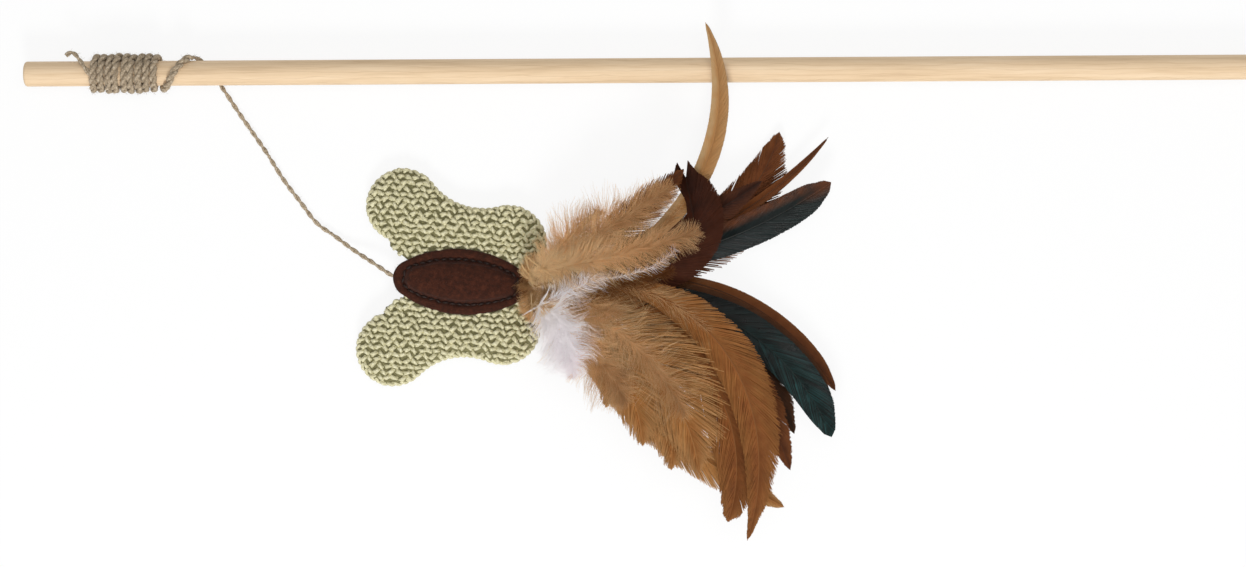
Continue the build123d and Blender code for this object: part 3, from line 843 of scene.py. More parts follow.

# %% [markdown]
# ## Wings: the knit
# The panels are knitted in moss stitch: short thick loops in staggered rows, every other one leaning the
# other way, with dark gaps between: real shade, and painted shade in the pad's darker colour. A loop is a
# small arch of two plies. A tree sets it out in rows, drops every loop on to the pad from above and below,
# and leaves out what the felt covers.

# %% Knit tree
STITCH_PITCH, STITCH_ROW, STITCH_LOOP = 2.35 * MM, 1.9 * MM, 2.25 * MM
KNIT_LONG, KNIT_WIDE = 68 * MM, 76 * MM
BODY_LENGTH, BODY_WIDTH, END_RADIUS = 43.6 * MM, 21.0 * MM, 6.0 * MM
END_REACH = BODY_LENGTH / 2 - END_RADIUS
FELT_ARC = (END_REACH ** 2 + (BODY_WIDTH / 2) ** 2 - END_RADIUS ** 2) / (BODY_WIDTH - 2 * END_RADIUS)
RAY_FROM, RAY_LONG = 0.04, 0.1

knit_tree, given = new_tree(
    "moss_stitch", Middle="Vector", Along="Vector", Across="Vector", Columns="Int", Rows="Int", Pitch="Float",
    Row="Float", Loop="Float", Felt_Middle="Vector", Felt_Arc="Float", Felt_Drop="Float", Seed="Int",
    Finish="Material")


def captured(shape, **values):
    """A shape with values kept on its points."""
    made = geo("CaptureAttribute", {"Geometry": shape})
    for label, value in values.items():
        kind = value.socket.type
        made.node.capture_items.new("FLOAT" if kind == "VALUE" else kind, label)
        feed(made.node, {label: value})
    return made


def both(first, second):
    return put("FunctionNodeBooleanMath", {0: first, 1: second}, operation="AND")


along, across, pitch, seed = (given[label] for label in ("Along", "Across", "Pitch", "Seed"))
grid = geo("MeshGrid", {
    "Size X": (given["Columns"] - 1.0) * pitch, "Size Y": (given["Rows"] - 1.0) * given["Row"],
    "Vertices X": given["Columns"], "Vertices Y": given["Rows"]})
on_grid = put("ShaderNodeSeparateXYZ", {0: geo("InputPosition")})
column = reckon("ROUND", on_grid["X"] / pitch)
row = reckon("ROUND", on_grid["Y"] / given["Row"] + 100.25)
shifted = reckon("FLOORED_MODULO", row, 2.0) * pitch * 0.5 + on_grid["X"]
noted = captured(grid, Lean=reckon("FLOORED_MODULO", row + column, 2.0))
wander = chance((-1, -1, 0), (1, 1, 0), seed) * (pitch * 0.13)
laid = given["Middle"] + along * shifted + across * on_grid["Y"] + wander
laid = geo("SetPosition", {"Geometry": noted, "Position": laid})
loop_line = straight((0.5, 0, 0), 6, start=(-0.5, 0, 0))
part = geo("SplineParameter")
arch = reckon("SINE", part * pi)
plies = []
for start in (0.4, 0.4 + pi):
    turn = part * 2.0 + start
    bow = xyz(Y=reckon("COSINE", turn) * 0.2, Z=arch * 0.32 + (reckon("SINE", turn) * 0.09 - 0.15))
    plies.append(tube(moved(loop_line, bow), 5, 0.27, arch * 0.4 + 0.6))
loop = joined(*plies)
sides = []
for way in (1.0, -1.0):
    met = geo("Raycast", {
        "Target Geometry": given["Geometry"], "Ray Direction": (0, 0, -way), "Ray Length": RAY_LONG,
        "Source Position": geo("InputPosition") + (0, 0, RAY_FROM * way)})
    kept = captured(laid, Out=met["Hit Normal"], Met=met["Is Hit"])
    dropped = geo("SetPosition", {"Geometry": kept, "Position": met["Hit Position"]})
    off = geo("InputPosition") - given["Felt_Middle"]
    wide_off = reckon("ABSOLUTE", reckon("DOT_PRODUCT", off, across)["Value"])
    far_off = xyz(X=reckon("DOT_PRODUCT", off, along)["Value"], Y=wide_off + given["Felt_Drop"])
    off_felt = above(reckon("LENGTH", far_off)["Value"], given["Felt_Arc"])
    level = reckon("ABSOLUTE", height_of(kept["Out"]))
    tilt = noted["Lean"] * 1.1 - 0.55 + chance(-0.4, 0.4, seed)
    lying = along * reckon("COSINE", tilt) + across * reckon("SINE", tilt)
    sides.append(geo("InstanceOnPoints", {
        "Points": dropped, "Instance": loop,
        "Selection": both(both(off_felt, kept["Met"]), above(level, 0.3)),
        "Rotation": turned_to(kept["Out"], "Z", lying, "X"),
        "Scale": chance(0.9, 1.1, seed) * ((level * 0.35 + 0.65) * given["Loop"])}))
end_tree(joined(*sides))


def knitted(name, pad, seed):
    """Loops of yarn over a pad, as a mesh. All pads share one grid, so the rows run on from pad to pad."""
    return grow(name + "_loops", pad, knit_tree, Middle=toy_point(KNIT_LONG / 3, 0, TOY_MID), Along=toy_along,
                Across=toy_across, Columns=2 * ceil(KNIT_LONG / STITCH_PITCH / 2) + 1,
                Rows=2 * ceil(KNIT_WIDE / STITCH_ROW / 2) + 1, Pitch=STITCH_PITCH,
                Row=STITCH_ROW, Loop=STITCH_LOOP, Felt_Middle=toy_point(BODY_LENGTH / 2, 0, TOY_MID),
                Felt_Arc=FELT_ARC - 0.5 * MM, Felt_Drop=FELT_ARC - BODY_WIDTH / 2, Seed=seed,
                Finish=yarn_finish)


print("knit tree", len(knit_tree.nodes), "nodes")

# %% Both wings
EDGE_INSET, EDGE_YARN = 0.75, 2.5 * MM
FOLD_REACH = 1.6 * MM
for name, side, hinge in (("upper_wing", 1, upper_hinge), ("lower_wing", -1, lower_hinge)):
    pad = wing_pad.copy()
    for vertex in pad.vertices:
        vertex.co = on_wing(vertex.co, side)
    rested(pad)
    if side < 0:
        pad.flip_normals()
    pad.materials.clear()
    # The pad's darker olive is painted shade where it shows between the loops.
    pad.materials.append(shaded_backing_finish)
    pad.shade_smooth()
    loops = knitted(name, pad.copy(), 3 + side)
    edge_line = [on_wing((x * MM, y * MM, 0), side) for x, y in wing_outline(EDGE_INSET)]
    chain = twine(name + "_edge", edge_line, EDGE_YARN, seed=13, fuzz=0.0, finish=yarn_finish, lay=1.7)
    piece = merged(name + "_knit", pad, loops, mesh_of(chain))
    fold = toy_across * side * FOLD_REACH
    tuple(hinge - fold)
    tuple(hinge + fold)
    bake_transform(piece)
    settle(piece, "sage_knit", name + "_front", name + "_back", name + "_wadding")

# %% [markdown]
# ## Knitted middle
# Under the felt the knit goes on from wing to wing. Only its front corners and its rear edge show, so it is a
# thin slab with rounded edges, dressed with the same loops outside the felt.

# %% Middle
MIDDLE_HALF = HINGE_OUT - (FLANGE - 0.5) * MM
MIDDLE_OUTLINE = [(-1.6, 1), (4.8, 0.55), (4.8, -0.55), (-1.6, -1), (44.6, -1), (44.6, 1)]
MIDDLE_PROFILE = [(0.5, -0.62), (0.0, -0.3), (0.0, 0.3), (0.5, 0.62)]
rings = [[toy_point((x + (draw_in if x < 20 else -draw_in)) * MM, share * (MIDDLE_HALF - draw_in * 0.2 * MM),
                    TOY_MID + height * MM) for x, share in MIDDLE_OUTLINE]
         for draw_in, height in MIDDLE_PROFILE]
# The slab wears the same darker olive, painted shade between the loops.
slab = ringed("wing_middle", rings, shaded_backing_finish)
loops = knitted("wing_middle", slab.copy(), 9)
settle(merged("wing_middle_knit", slab, loops), "sage_knit", "wing_bridge", body="toy")

# %% [markdown]
# ## Felt body
# Two ovals of thick dark felt sit on the knit, one each side, sewn a few millimetres in from the edge.
# The sewing pulls a groove round a stuffed crown. The section is a row of rings, from the cut edge over the
# rim and the groove to the top, and a little unevenness keeps it from looking turned on a lathe. A short
# rolled lip closes the tail.

# %% Felt shapes
OVAL_POINTS = 112
FELT_LOW = 0.8 * MM
CROWN_LOW, CROWN_RISE, CROWN_STEPS = 2.0 * MM, 2.2 * MM, 9
RIM, GROOVE = 4.5 * MM, 3.3 * MM
RIM_PROFILE = [(0.5, 0.02), (0.1, 0.15), (0.0, 0.55), (0.15, 0.95), (0.5, 1.2), (1.3, 1.5), (2.1, 1.55),
               (2.7, 1.3), (3.05, 0.95), (3.3, 0.85), (3.6, 1.0), (4.0, 1.5), (4.5, 2.0)]
LIP_FROM, LIP_TO, LIP_OUT, LIP_THICK = 39.6 * MM, 44.6 * MM, -1.4 * MM, 1.7 * MM
LIP_STEPS, LIP_SIDES = 12, 16


def oval(inset):
    """Points on the body's outline, drawn in by inset, evenly by turn: two ends and two long sides."""
    half_long, half_wide, end = BODY_LENGTH / 2 - inset, BODY_WIDTH / 2 - inset, END_RADIUS - inset / 2
    reach = half_long - end
    side = (reach ** 2 + half_wide ** 2 - end ** 2) / (2 * (half_wide - end))
    drop = side - half_wide
    meet = degrees(atan2(drop, reach))
    points = []
    for centre, radius, start, stop in (((reach, 0), end, -meet, meet), ((0, -drop), side, meet, 180 - meet),
                                        ((-reach, 0), end, 180 - meet, 180 + meet),
                                        ((0, drop), side, 180 + meet, 360 - meet)):
        points += arc(centre, radius, start, stop, OVAL_POINTS // 4)[:-1]
    return points


def felt_dent(x, y):
    """Slow dents of hand-cut felt, in metres."""
    return 0.16 * MM * (sin(x * 420 + 1.7) * cos(y * 510) + 0.7 * sin(x * 930 - y * 760))


def felt_cover(name, way):
    rings = [[(x, y, rise * MM) for x, y in oval(inset * MM)] for inset, rise in RIM_PROFILE]
    for step in range(1, CROWN_STEPS):
        up = pi / 2 * step / CROWN_STEPS
        rings.append([(x * cos(up), y * cos(up), CROWN_LOW + CROWN_RISE * sin(up)) for x, y in oval(RIM)])
    placed = []
    for level, ring in enumerate(rings):
        loose = min(level / 4, 1)
        placed.append([toy_point(
            BODY_LENGTH / 2 + x + loose * felt_dent(y, x) * 0.8, y + loose * felt_dent(x, y) * 0.6,
            TOY_MID + way * (FELT_LOW + z + loose * felt_dent(x, y) * (0.6 if z > MM else 0.3)))
            for x, y, z in ring])
    return ringed(name, placed, felt_finish)


def tail_lip(way):
    rings = []
    for share in (step / LIP_STEPS for step in range(1, LIP_STEPS)):
        thick = LIP_THICK * sin(pi * share) ** 0.45
        out, rise = LIP_OUT + 0.5 * MM * sin(9 * share), 2.6 * MM - 1.3 * MM * share
        turns = [tau * k / LIP_SIDES for k in range(LIP_SIDES)]
        rings.append([toy_point(LIP_FROM + (LIP_TO - LIP_FROM) * share, out + thick * cos(turn),
                                TOY_MID + way * (rise + 0.75 * thick * sin(turn))) for turn in turns])
    return ringed("tail_lip", rings, felt_finish)


# %% Felt covers and their fuzz
fuzz_tree, given = new_tree(
    "loose_fibres", Density="Float", Length="Float", Thick="Float", Lean="Float", Seed="Int",
    Finish="Material")
hair = bent_hair(5, 0.6, given["Thick"], 0.7)
end_tree(scattered(hair, given["Geometry"], given["Density"], given["Length"], 0.4, lean=given["Lean"]))
for name, way, density in (("front", 1, 2.2e6), ("back", -1, 1.0e6)):
    cover = mesh_of(merged("felt_" + name, felt_cover("felt_" + name, way), tail_lip(way)))
    cover.shade_smooth()
    fuzz = grow("felt_fuzz", cover.copy(), fuzz_tree, Density=density, Length=0.9 * MM, Thick=0.03, Lean=1.1,
                Seed=21, Finish=felt_finish)
    piece = merged(f"felt_{name}_cover", cover, fuzz)
    settle(piece, "brown_felt", f"body_felt_{name}", f"body_wadding_{name}", body="toy")

# %% [markdown]
# ## Seam stitches
# Dark waxed thread runs round the oval in the groove, a short stitch every couple of millimetres, on both
# covers. Stitches follow a line, so a tree puts one small arch of thread at each step.

# %% Stitch tree
SEAM_HEIGHT = 1.65 * MM
stitch_tree, given = new_tree(
    "seam_stitches", Pitch="Float", Stitch="Float", Thread="Float", Up="Vector", Seed="Int",
    Finish="Material")
line = geo("MeshToCurve", {"Mesh": given["Geometry"]})
steps = geo("CurveToPoints", {"Curve": line, "Length": given["Pitch"]}, mode="LENGTH")
running = steps["Tangent"] + chance((-0.35, -0.35, -0.1), (0.35, 0.35, 0.1), given["Seed"])
half = xyz(X=given["Stitch"] * 0.5)
arch = reckon("SINE", geo("SplineParameter") * pi)
thread_line = moved(straight(half, 7, start=half * -1.0), xyz(Z=arch * given["Thread"]))
end_tree(geo("InstanceOnPoints", {
    "Points": steps, "Instance": tube(thread_line, 6, given["Thread"] * 0.5),
    "Rotation": turned_to(running, "X", given["Up"], "Z")}))
groove = oval(GROOVE)
rows = []
for way in (1, -1):
    points = [toy_point(BODY_LENGTH / 2 + x, y, TOY_MID + way * SEAM_HEIGHT) for x, y in groove + groove[:1]]
    rows.append(grow("stitches", line_mesh("groove", points), stitch_tree, Pitch=2.3 * MM, Stitch=1.9 * MM,
                     Thread=0.7 * MM, Up=(0, 0, way), Seed=31, Finish=thread_finish))
settle(merged("seam_stitches", *rows), "seam_thread", "seam_thread", body="toy")

# %% [markdown]
# ## Feather finishes
# A feather's colour runs along it: grey and soft at the root, rich in the middle, dark or bright at the tip,
# with paler barb ends and a horn-coloured quill. The trees below leave three numbers on the mesh: how far
# along the feather, how far out on a barb, and a random tint for each barb. One group reads them.

# %% Vane group and finishes
VANE_NUMBERS = ("Along", "Across", "Tint")
TINT_BY, MOTTLE_BY, EDGE_BY = 0.3, 0.24, 0.55

vane_tones, _ = new_group(
    "vane_tones", "ShaderNodeTree", {}, dict.fromkeys((*VANE_NUMBERS, "Mottle"), "Float"))
tones = {label: put("ShaderNodeAttribute", attribute_name=label.lower())["Fac"] for label in VANE_NUMBERS}
place = put("ShaderNodeTexCoord")["Object"]
mottle = put("ShaderNodeTexNoise", {"Vector": place, "Scale": 240.0, "Detail": 4.0})
clear = put("ShaderNodeMapRange", {"Value": mottle, "From Min": 0.32, "From Max": 0.68})
put("NodeGroupOutput", {**tones, "Mottle": clear})


def vane_finish(name, stops, edge, quill, rough=0.55, shine=0.22, through=0.3, glow=0.0):
    """A feather's finish: colour stops along it, its barb ends' colour and its quill's. A glow in the barb
    ends' colour, where set, is painted light for light bounced between hairs.
    """
    made, skin = new_finish(name)
    tones = put("ShaderNodeGroup", node_tree=vane_tones)
    tint, mottle, across = tones["Tint"], tones["Mottle"], tones["Across"]
    shift = mottle * MOTTLE_BY + (tint * TINT_BY - TINT_BY / 2 - MOTTLE_BY / 2)
    body = ramp(tones["Along"] + shift, stops)
    edged = laid_over(body, edge, reckon("POWER", across, 2.0) * EDGE_BY)
    horn = laid_over(edged, quill, reckon("LESS_THAN", across, 0.001))
    final = horn * (tint * 0.3 + 0.87)
    # Emission in the barb ends' colour: painted light, standing in for light bounced between the hairs.
    feed(skin, {"Base Color": final, "Roughness": mottle * 0.2 + (rough - 0.1), "Specular IOR Level": shine,
                "Emission Color": linear(*edge), "Emission Strength": glow})
    thin = put("ShaderNodeBsdfTranslucent", {"Color": final})
    mixed = put("ShaderNodeMixShader", {0: through, 1: Wire(skin), 2: thin})
    feed(made.node_tree.nodes["Material Output"], {"Surface": mixed})
    return made


def overlaid(finish, colour, by, **spans):
    """Lays a colour over a finish where each named number has passed from its low to its high."""
    bench["tree"] = finish.node_tree
    kinds = {one.type: one for one in finish.node_tree.nodes}
    skin, mask = finish.node_tree.nodes["Principled BSDF"], by
    for label, (low, high) in spans.items():
        number = put("ShaderNodeAttribute", attribute_name=label)["Fac"]
        mask = put("ShaderNodeMapRange", {"Value": number, "From Min": low, "From Max": high}) * mask
    mask = mask * (Wire(kinds["GROUP"])["Mottle"] * 0.7 + 0.3)
    over = laid_over(colour_of(skin), colour, mask)
    for one in (skin, kinds["BSDF_TRANSLUCENT"]):
        feed(one, {0: over})


chestnut = vane_finish(
    "chestnut_vane",
    [(0.0, (172, 140, 108)), (0.35, (140, 86, 48)), (0.75, (126, 70, 34)), (1.0, (92, 50, 28))],
    (156, 96, 52), (98, 62, 38))
tawny = vane_finish(
    "tawny_vane",
    [(0.0, (210, 176, 128)), (0.35, (178, 118, 62)), (0.75, (154, 92, 46)), (1.0, (126, 74, 38))],
    (192, 134, 76), (150, 98, 54))
umber = vane_finish(
    "umber_vane",
    [(0.0, (146, 122, 98)), (0.35, (98, 62, 38)), (0.75, (74, 44, 26)), (1.0, (50, 32, 20))],
    (112, 68, 38), (56, 38, 26))
russet = vane_finish(
    "russet_vane",
    [(0.0, (150, 116, 84)), (0.3, (112, 64, 38)), (0.7, (84, 44, 26)), (1.0, (52, 28, 20))],
    (110, 64, 38), (56, 36, 26))
mahogany = vane_finish(
    "mahogany_vane",
    [(0.0, (138, 100, 70)), (0.3, (94, 46, 22)), (0.7, (66, 28, 11)), (1.0, (42, 18, 9))],
    (88, 44, 22), (42, 24, 14))
amber = vane_finish(
    "amber_vane",
    [(0.0, (206, 180, 142)), (0.35, (196, 142, 86)), (0.75, (200, 146, 90)), (1.0, (192, 148, 98))],
    (218, 178, 126), (186, 138, 88))
overlaid(amber, (214, 184, 138), 0.8, flank=(0.4, 0.6), across=(0.1, 0.5))
sand = vane_finish(
    "sand_vane",
    [(0.0, (222, 194, 150)), (0.4, (210, 156, 94)), (0.8, (190, 128, 68)), (1.0, (164, 104, 52))],
    (226, 182, 124), (182, 130, 78))
bottle = vane_finish(
    "bottle_green_vane",
    [(0.0, (104, 86, 70)), (0.3, (26, 20, 15)), (0.65, (15, 18, 16)), (1.0, (24, 38, 34))],
    (26, 36, 34), (30, 27, 23), rough=0.36, shine=0.4)
# Teal from the middle towards the tip: painted sheen, the feather's iridescent gloss laid in as colour.
overlaid(bottle, (54, 112, 112), 0.6, along=(0.45, 0.85), tint=(0.3, 0.9))
edged_bottle = vane_finish(
    "bottle_green_brown_edge",
    [(0.0, (104, 86, 70)), (0.3, (40, 36, 30)), (0.65, (28, 34, 34)), (1.0, (36, 36, 32))],
    (32, 42, 42), (36, 34, 30), rough=0.36, shine=0.5)
# Dull teal over the middle: painted sheen, the iridescent gloss laid in as colour.
overlaid(edged_bottle, (46, 78, 78), 0.35, along=(0.3, 0.7), tint=(0.3, 0.9))
overlaid(edged_bottle, (132, 74, 38), 1.0, flank=(0.4, 0.6), across=(0.3, 0.7), along=(0.35, 0.6))
overlaid(edged_bottle, (126, 72, 40), 1.0, along=(0.86, 0.97))
DOWNY = {"rough": 0.85, "shine": 0.1}
# A faint glow: painted light for light bounced between the tan hairs.
tan_down = vane_finish(
    "tan_down",
    [(0.0, (242, 222, 182)), (0.5, (234, 196, 142)), (1.0, (200, 148, 92))],
    (244, 222, 180), (206, 172, 124), through=0.5, glow=0.07, **DOWNY)
brown_down = vane_finish(
    "brown_down",
    [(0.0, (208, 170, 122)), (0.5, (158, 104, 58)), (1.0, (114, 66, 32))],
    (180, 132, 82), (140, 100, 62), through=0.45, **DOWNY)
# A stronger glow: painted light for light bounced between the white hairs.
pale_down = vane_finish(
    "pale_down",
    [(0.0, (253, 251, 250)), (0.5, (252, 250, 251)), (1.0, (248, 244, 246))],
    (254, 252, 252), (248, 246, 246), through=0.75, glow=0.22, **DOWNY)
print("finishes", len(bpy.data.materials))

# %% [markdown]
# ## Feather tree
# A feather is a bending quill with hundreds of barbs on both sides. They sweep forward, cling together in
# clumps and split apart where the vane was ruffled. The tree walks along the quill, sets a line for every
# barb, bends it forward and down, and only then gives it a thin section, so that every barb is real.

# %% Feather tree
BARB_BEND, BARB_POINTS = 0.14, 5
LEAST_BREADTH = 0.15 * MM


def named(label, kind="FLOAT"):
    return geo("InputNamedAttribute", {"Name": label}, data_type=kind)


def noted_as(shape, **values):
    """A shape with values stored on its points, under their names."""
    for label, value in values.items():
        shape = geo("StoreNamedAttribute", {"Geometry": shape, "Name": label, "Value": value},
                    data_type="FLOAT_VECTOR" if is_vector(value) else "FLOAT", domain="POINT")
    return shape


def forget(shape, *labels):
    for label in labels:
        shape = geo("RemoveAttribute", {"Geometry": shape, "Name": label})
    return shape


def walked(line):
    """The points of a line, which way it runs at each and which way lies beside it."""
    steps = geo("CurveToPoints", {"Curve": line}, mode="EVALUATED")
    ahead = steps["Tangent"]
    return steps, ahead, reckon("NORMALIZE", reckon("CROSS_PRODUCT", (0, 0, 1), ahead))


def barb_lines(points, way, reach, shown=True):
    """A line of a few points for every barb."""
    stub = geo("CurvePrimitiveLine", {"End": (1, 0, 0)})
    barbs = geo("InstanceOnPoints", {"Points": points, "Selection": shown, "Instance": stub,
                                     "Rotation": turned_to(way, "X", (0, 0, 1), "Z"), "Scale": reach})
    return counted(geo("RealizeInstances", {"Geometry": barbs}), BARB_POINTS)


feather_tree, given = new_tree(
    "feather_barbs", Spacing="Float", Barb="Float", Root_Angle="Float", Tip_Angle="Float", Clumps="Float",
    Split="Float", Ruffle="Float", Ragged="Float", Taper="Float", Seed="Int", Finish="Material")
line = geo("MeshToCurve", {"Mesh": given["Geometry"]})
line = geo("CurveSplineType", {"Curve": line}, spline_type="CATMULL_ROM")
line = stepped(geo("SetSplineResolution", {"Geometry": line, "Resolution": 12}), given["Spacing"])
along, breadth = named("along"), named("breadth")
shapes = [noted_as(tube(line, 6, 1.0, named("stem")), across=0.0, tint=0.5)]
steps, ahead, aside = walked(line)
for side in (1.0, -1.0):
    seed = given["Seed"] + 7.0 * side
    clump = reckon("FLOOR", along * given["Clumps"] + 0.37 * side)
    lean = put("ShaderNodeTexWhiteNoise", {"W": seed * 13.7 + clump}, noise_dimensions="1D")["Value"]
    soft = (1.15 - along) * given["Ruffle"]
    angle = put("ShaderNodeMix", {"Factor": along, "A": given["Root_Angle"], "B": given["Tip_Angle"]})
    angle = chance(-1.0, 1.0, seed) * soft + ((lean - 0.5) * given["Split"] + angle)
    swept = ahead * reckon("COSINE", angle) + aside * (reckon("SINE", angle) * side)
    swept = swept + xyz(Z=chance(-1.0, 1.0, seed + 3.0) * soft - 0.06)
    long_by = breadth / reckon("MAXIMUM", reckon("SINE", angle), 0.25)
    long_by = long_by * (1.0 - chance(0.0, 1.0, seed + 5.0) * given["Ragged"])
    held = noted_as(steps, way=ahead, tint=chance(0.0, 1.0, seed + 9.0), reach=long_by)
    barbs = barb_lines(held, swept, long_by, above(breadth, LEAST_BREADTH))
    part = geo("SplineParameter")
    square = part * part
    barbs = moved(barbs, named("way", "FLOAT_VECTOR") * (square * named("reach") * BARB_BEND))
    barbs = noted_as(barbs, across=part * 0.98 + 0.02, flank=0.5 + 0.5 * side)
    barbs = geo("SetCurveNormal", {"Curve": barbs}, mode="Z_UP")
    shapes.append(tube(barbs, 3, 1.0, (1.0 - square * given["Taper"]) * given["Barb"], flat=0.4))
end_tree(forget(joined(*shapes), "way", "reach", "breadth", "stem"))
print("feather tree", len(feather_tree.nodes), "nodes")

# %% [markdown]
# ## Down tree
# Down has no flat vane: its barbs leave the stem all round, wave about and end in soft tips. The tree fills
# an oval section about a line, as broad and as tall as the line's own numbers say.

# %% Down tree
down_tree, given = new_tree(
    "down_barbs", Spacing="Float", Barb="Float", Wave="Float", Forward="Float", Seed="Int",
    Finish="Material")
line = stepped(geo("MeshToCurve", {"Mesh": given["Geometry"]}), given["Spacing"])
breadth, tall = named("breadth"), named("tall")
steps, ahead, aside = walked(line)
seed = given["Seed"]
roll = chance(0.0, tau, seed)
full = reckon("SQRT", chance(0.05, 1.1, seed + 1.0))
across_by = reckon("COSINE", roll) * breadth * full
up_by = (reckon("SINE", roll) * 0.5 + 0.5) * tall * full
on_by = breadth * given["Forward"] * chance(0.3, 1.2, seed + 2.0)
out = ahead * on_by + aside * across_by + xyz(Z=up_by)
long_by = reckon("LENGTH", out)["Value"]
barbs = barb_lines(noted_as(steps, tint=chance(0.0, 1.0, seed + 4.0), reach=long_by), out, long_by)
part = geo("SplineParameter")
swirl = put("ShaderNodeTexNoise", {"Vector": geo("InputPosition"), "Scale": 130.0, "Detail": 1.0})["Color"]
barbs = moved(barbs, (swirl - (0.5, 0.5, 0.5)) * (part * named("reach") * given["Wave"]))
barbs = noted_as(barbs, across=part * 0.98 + 0.02)
fluff = tube(barbs, 3, 1.0, (part * -0.75 + 1.0) * given["Barb"])
end_tree(forget(fluff, "reach", "breadth", "tall"))
print("down tree", len(down_tree.nodes), "nodes")

# %% [markdown]
# ## Where each feather lies
# The quills are bound in two stacks behind the body. Each feather leaves its stack at a heading, bends in
# plan by so many degrees, early or late, and lies on its own layer of a rising fan. These are the same
# rules that placed the solids.

# %% Spines
FAN_ALONG, BUNDLE_OUT = 46.5 * MM, 5.5 * MM
LAYER_LOW, LAYER_STEP, LAYER_RISE = 0.9 * MM, 0.55 * MM, 0.0105
SPINE_FINE = 12


def evenly(count):
    return [k / count for k in range(count + 1)]


def spine_points(side, length, heading, bend, late, layer, shares, lift=None, turned=1.0):
    """Places at shares of a spine's length, on its layer's rising cone. Past turned it runs straight."""
    x, y, done = 0.0, side * BUNDLE_OUT, 0.0
    places = []
    for index, share in enumerate(shares):
        for _ in range(SPINE_FINE):
            step = (share - done) / SPINE_FINE if share > done else 0.0
            middle = min((done + step / 2) / turned, 1)
            ahead = radians(heading + bend * (middle - late * middle * (1 - middle)))
            x += length * step * cos(ahead)
            y += length * step * sin(ahead)
            done += step
        height = LAYER_LOW + layer * LAYER_STEP + layer * LAYER_RISE * hypot(x, y)
        places.append(toy_point(FAN_ALONG + x, y, height + (lift[index] if lift else 0)))
    return places


# %% The feathers' shapes and colours
# Breadth of a vane at shares of its length: a hackle, a blade, a forked tip and a long point
STATIONS = (0.0, 0.2, 0.4, 0.6, 0.76, 0.88, 0.96, 1.0)
HACKLE = (0.0, 0.12, 0.75, 1.0, 0.92, 0.66, 0.34, 0.0)
BLADE = (0.0, 0.08, 0.6, 0.95, 1.0, 0.94, 0.72, 0.0)
FORKED = (0.0, 0.12, 0.6, 0.9, 1.0, 0.95, 0.8, 0.7)
POINTED = (0.0, 0.12, 0.75, 1.0, 0.82, 0.5, 0.2, 0.0)
# How a vane lies: split between clumps, ruffled barbs, ragged ends, thinning of each barb
# and the step between barbs in millimetres
SMOOTH, COMBED = (0.02, 0.015, 0.04, 0.3, 0.14), (0.05, 0.05, 0.12, 0.5, 0.19)
LOOSE = (0.08, 0.10, 0.25, 0.65, 0.22)
# name: side, length and width in millimetres, heading, bend, lateness, extra layers, form, lie, finish,
# slot, down
FEATHERS = {
    "brown_low_outer": (-1, 112, 5.4, 33, -91, 0, 0, BLADE, SMOOTH, chestnut, "brown", brown_down),
    "tan_high": (1, 99, 20.0, -8, 88, 0.1, 0, HACKLE, COMBED, chestnut, "tan", tan_down),
    "brown_low_streaked": (-1, 111, 6.0, 29, -88, 0, 0, BLADE, SMOOTH, umber, "brown", brown_down),
    "thin_high": (1, 106, 3.6, 4, 50, 0, 0, HACKLE, SMOOTH, chestnut, "brown", brown_down),
    "brown_low_inner": (-1, 106, 12.0, 31, -101, -0.2, 0, HACKLE, COMBED, umber, "brown", brown_down),
    "green_high": (1, 100, 11.0, 2, 38, 0, 0, BLADE, SMOOTH, edged_bottle, "green", brown_down),
    "green_low": (-1, 115, 12.0, 24, -89, 0, 0, BLADE, SMOOTH, bottle, "green", brown_down),
    "brown_high": (1, 78, 11.0, 11, 30, 0, 0, HACKLE, COMBED, russet, "brown", brown_down),
    "brown_low_curved": (-1, 109, 14.0, 25, -94, -0.45, 0, HACKLE, COMBED, chestnut, "brown", brown_down),
    "upright": (1, 114, 6.4, 0, 117, -0.1, 0, HACKLE, SMOOTH, amber, "tan", tan_down),
    "pale_low": (-1, 103, 14.0, -47, 24, 0, 0, HACKLE, COMBED, sand, "tan", tan_down),
    "curled": (1, 73, 14.0, -6, 112, 1.2, 0, FORKED, SMOOTH, mahogany, "brown", brown_down),
    "dark_low": (-1, 112, 28.0, 16, -122, 0, 0, HACKLE, COMBED, tawny, "brown", tan_down),
    "brown_high_side": (1, 57, 13.0, 26, 26, 0, 0, HACKLE, LOOSE, chestnut, "brown", tan_down),
    "long_low": (-1, 131, 16.0, 37, -141, -0.42, 0, POINTED, COMBED, tawny, "brown", tan_down),
    "tan_low_side": (-1, 76, 27.0, 0, -94, 0, 0.5, HACKLE, LOOSE, sand, "tan", tan_down),
    "tan_low_broad": (-1, 80, 30.0, -4, -76, 0, 1, HACKLE, LOOSE, sand, "tan", tan_down),
    "tan_low_short": (-1, 60, 21.0, -14, -70, 0, 1.5, HACKLE, LOOSE, sand, "tan", tan_down),
    "tan_small": (-1, 45, 16.0, -2, -100, 0, 2.5, HACKLE, LOOSE, amber, "tan", tan_down),
}

# %% Feathers
QUILL, BARB = 0.8 * MM, 0.21 * MM
ROOT_ANGLE, TIP_ANGLE = radians(52), radians(20)
FORK_BEYOND, CURL_DONE = 0.12, 0.86
CLUMPS = 22.0
DOWN_FROM, DOWN_TO, DOWN_STEPS, DOWN_COUNT = 0.03, 0.46, 20, 400
DOWN_TALL = 2.6 * MM
CORNER_BLUR = [0.1, 0.15, 0.15, 0.2, 0.15, 0.15, 0.1]
shares = evenly(60)


def vane_edge(form, width):
    """The vane's half width at shares of its length, with its corners rounded off."""
    half = np.interp(shares, STATIONS, form) * width / 2
    soft = np.convolve(np.concatenate([[half[0]] * 3, half, [half[-1]] * 3]), CORNER_BLUR, "valid")
    soft[-1] = half[-1]
    return shares + [1 + FORK_BEYOND], list(soft) + [0.0]


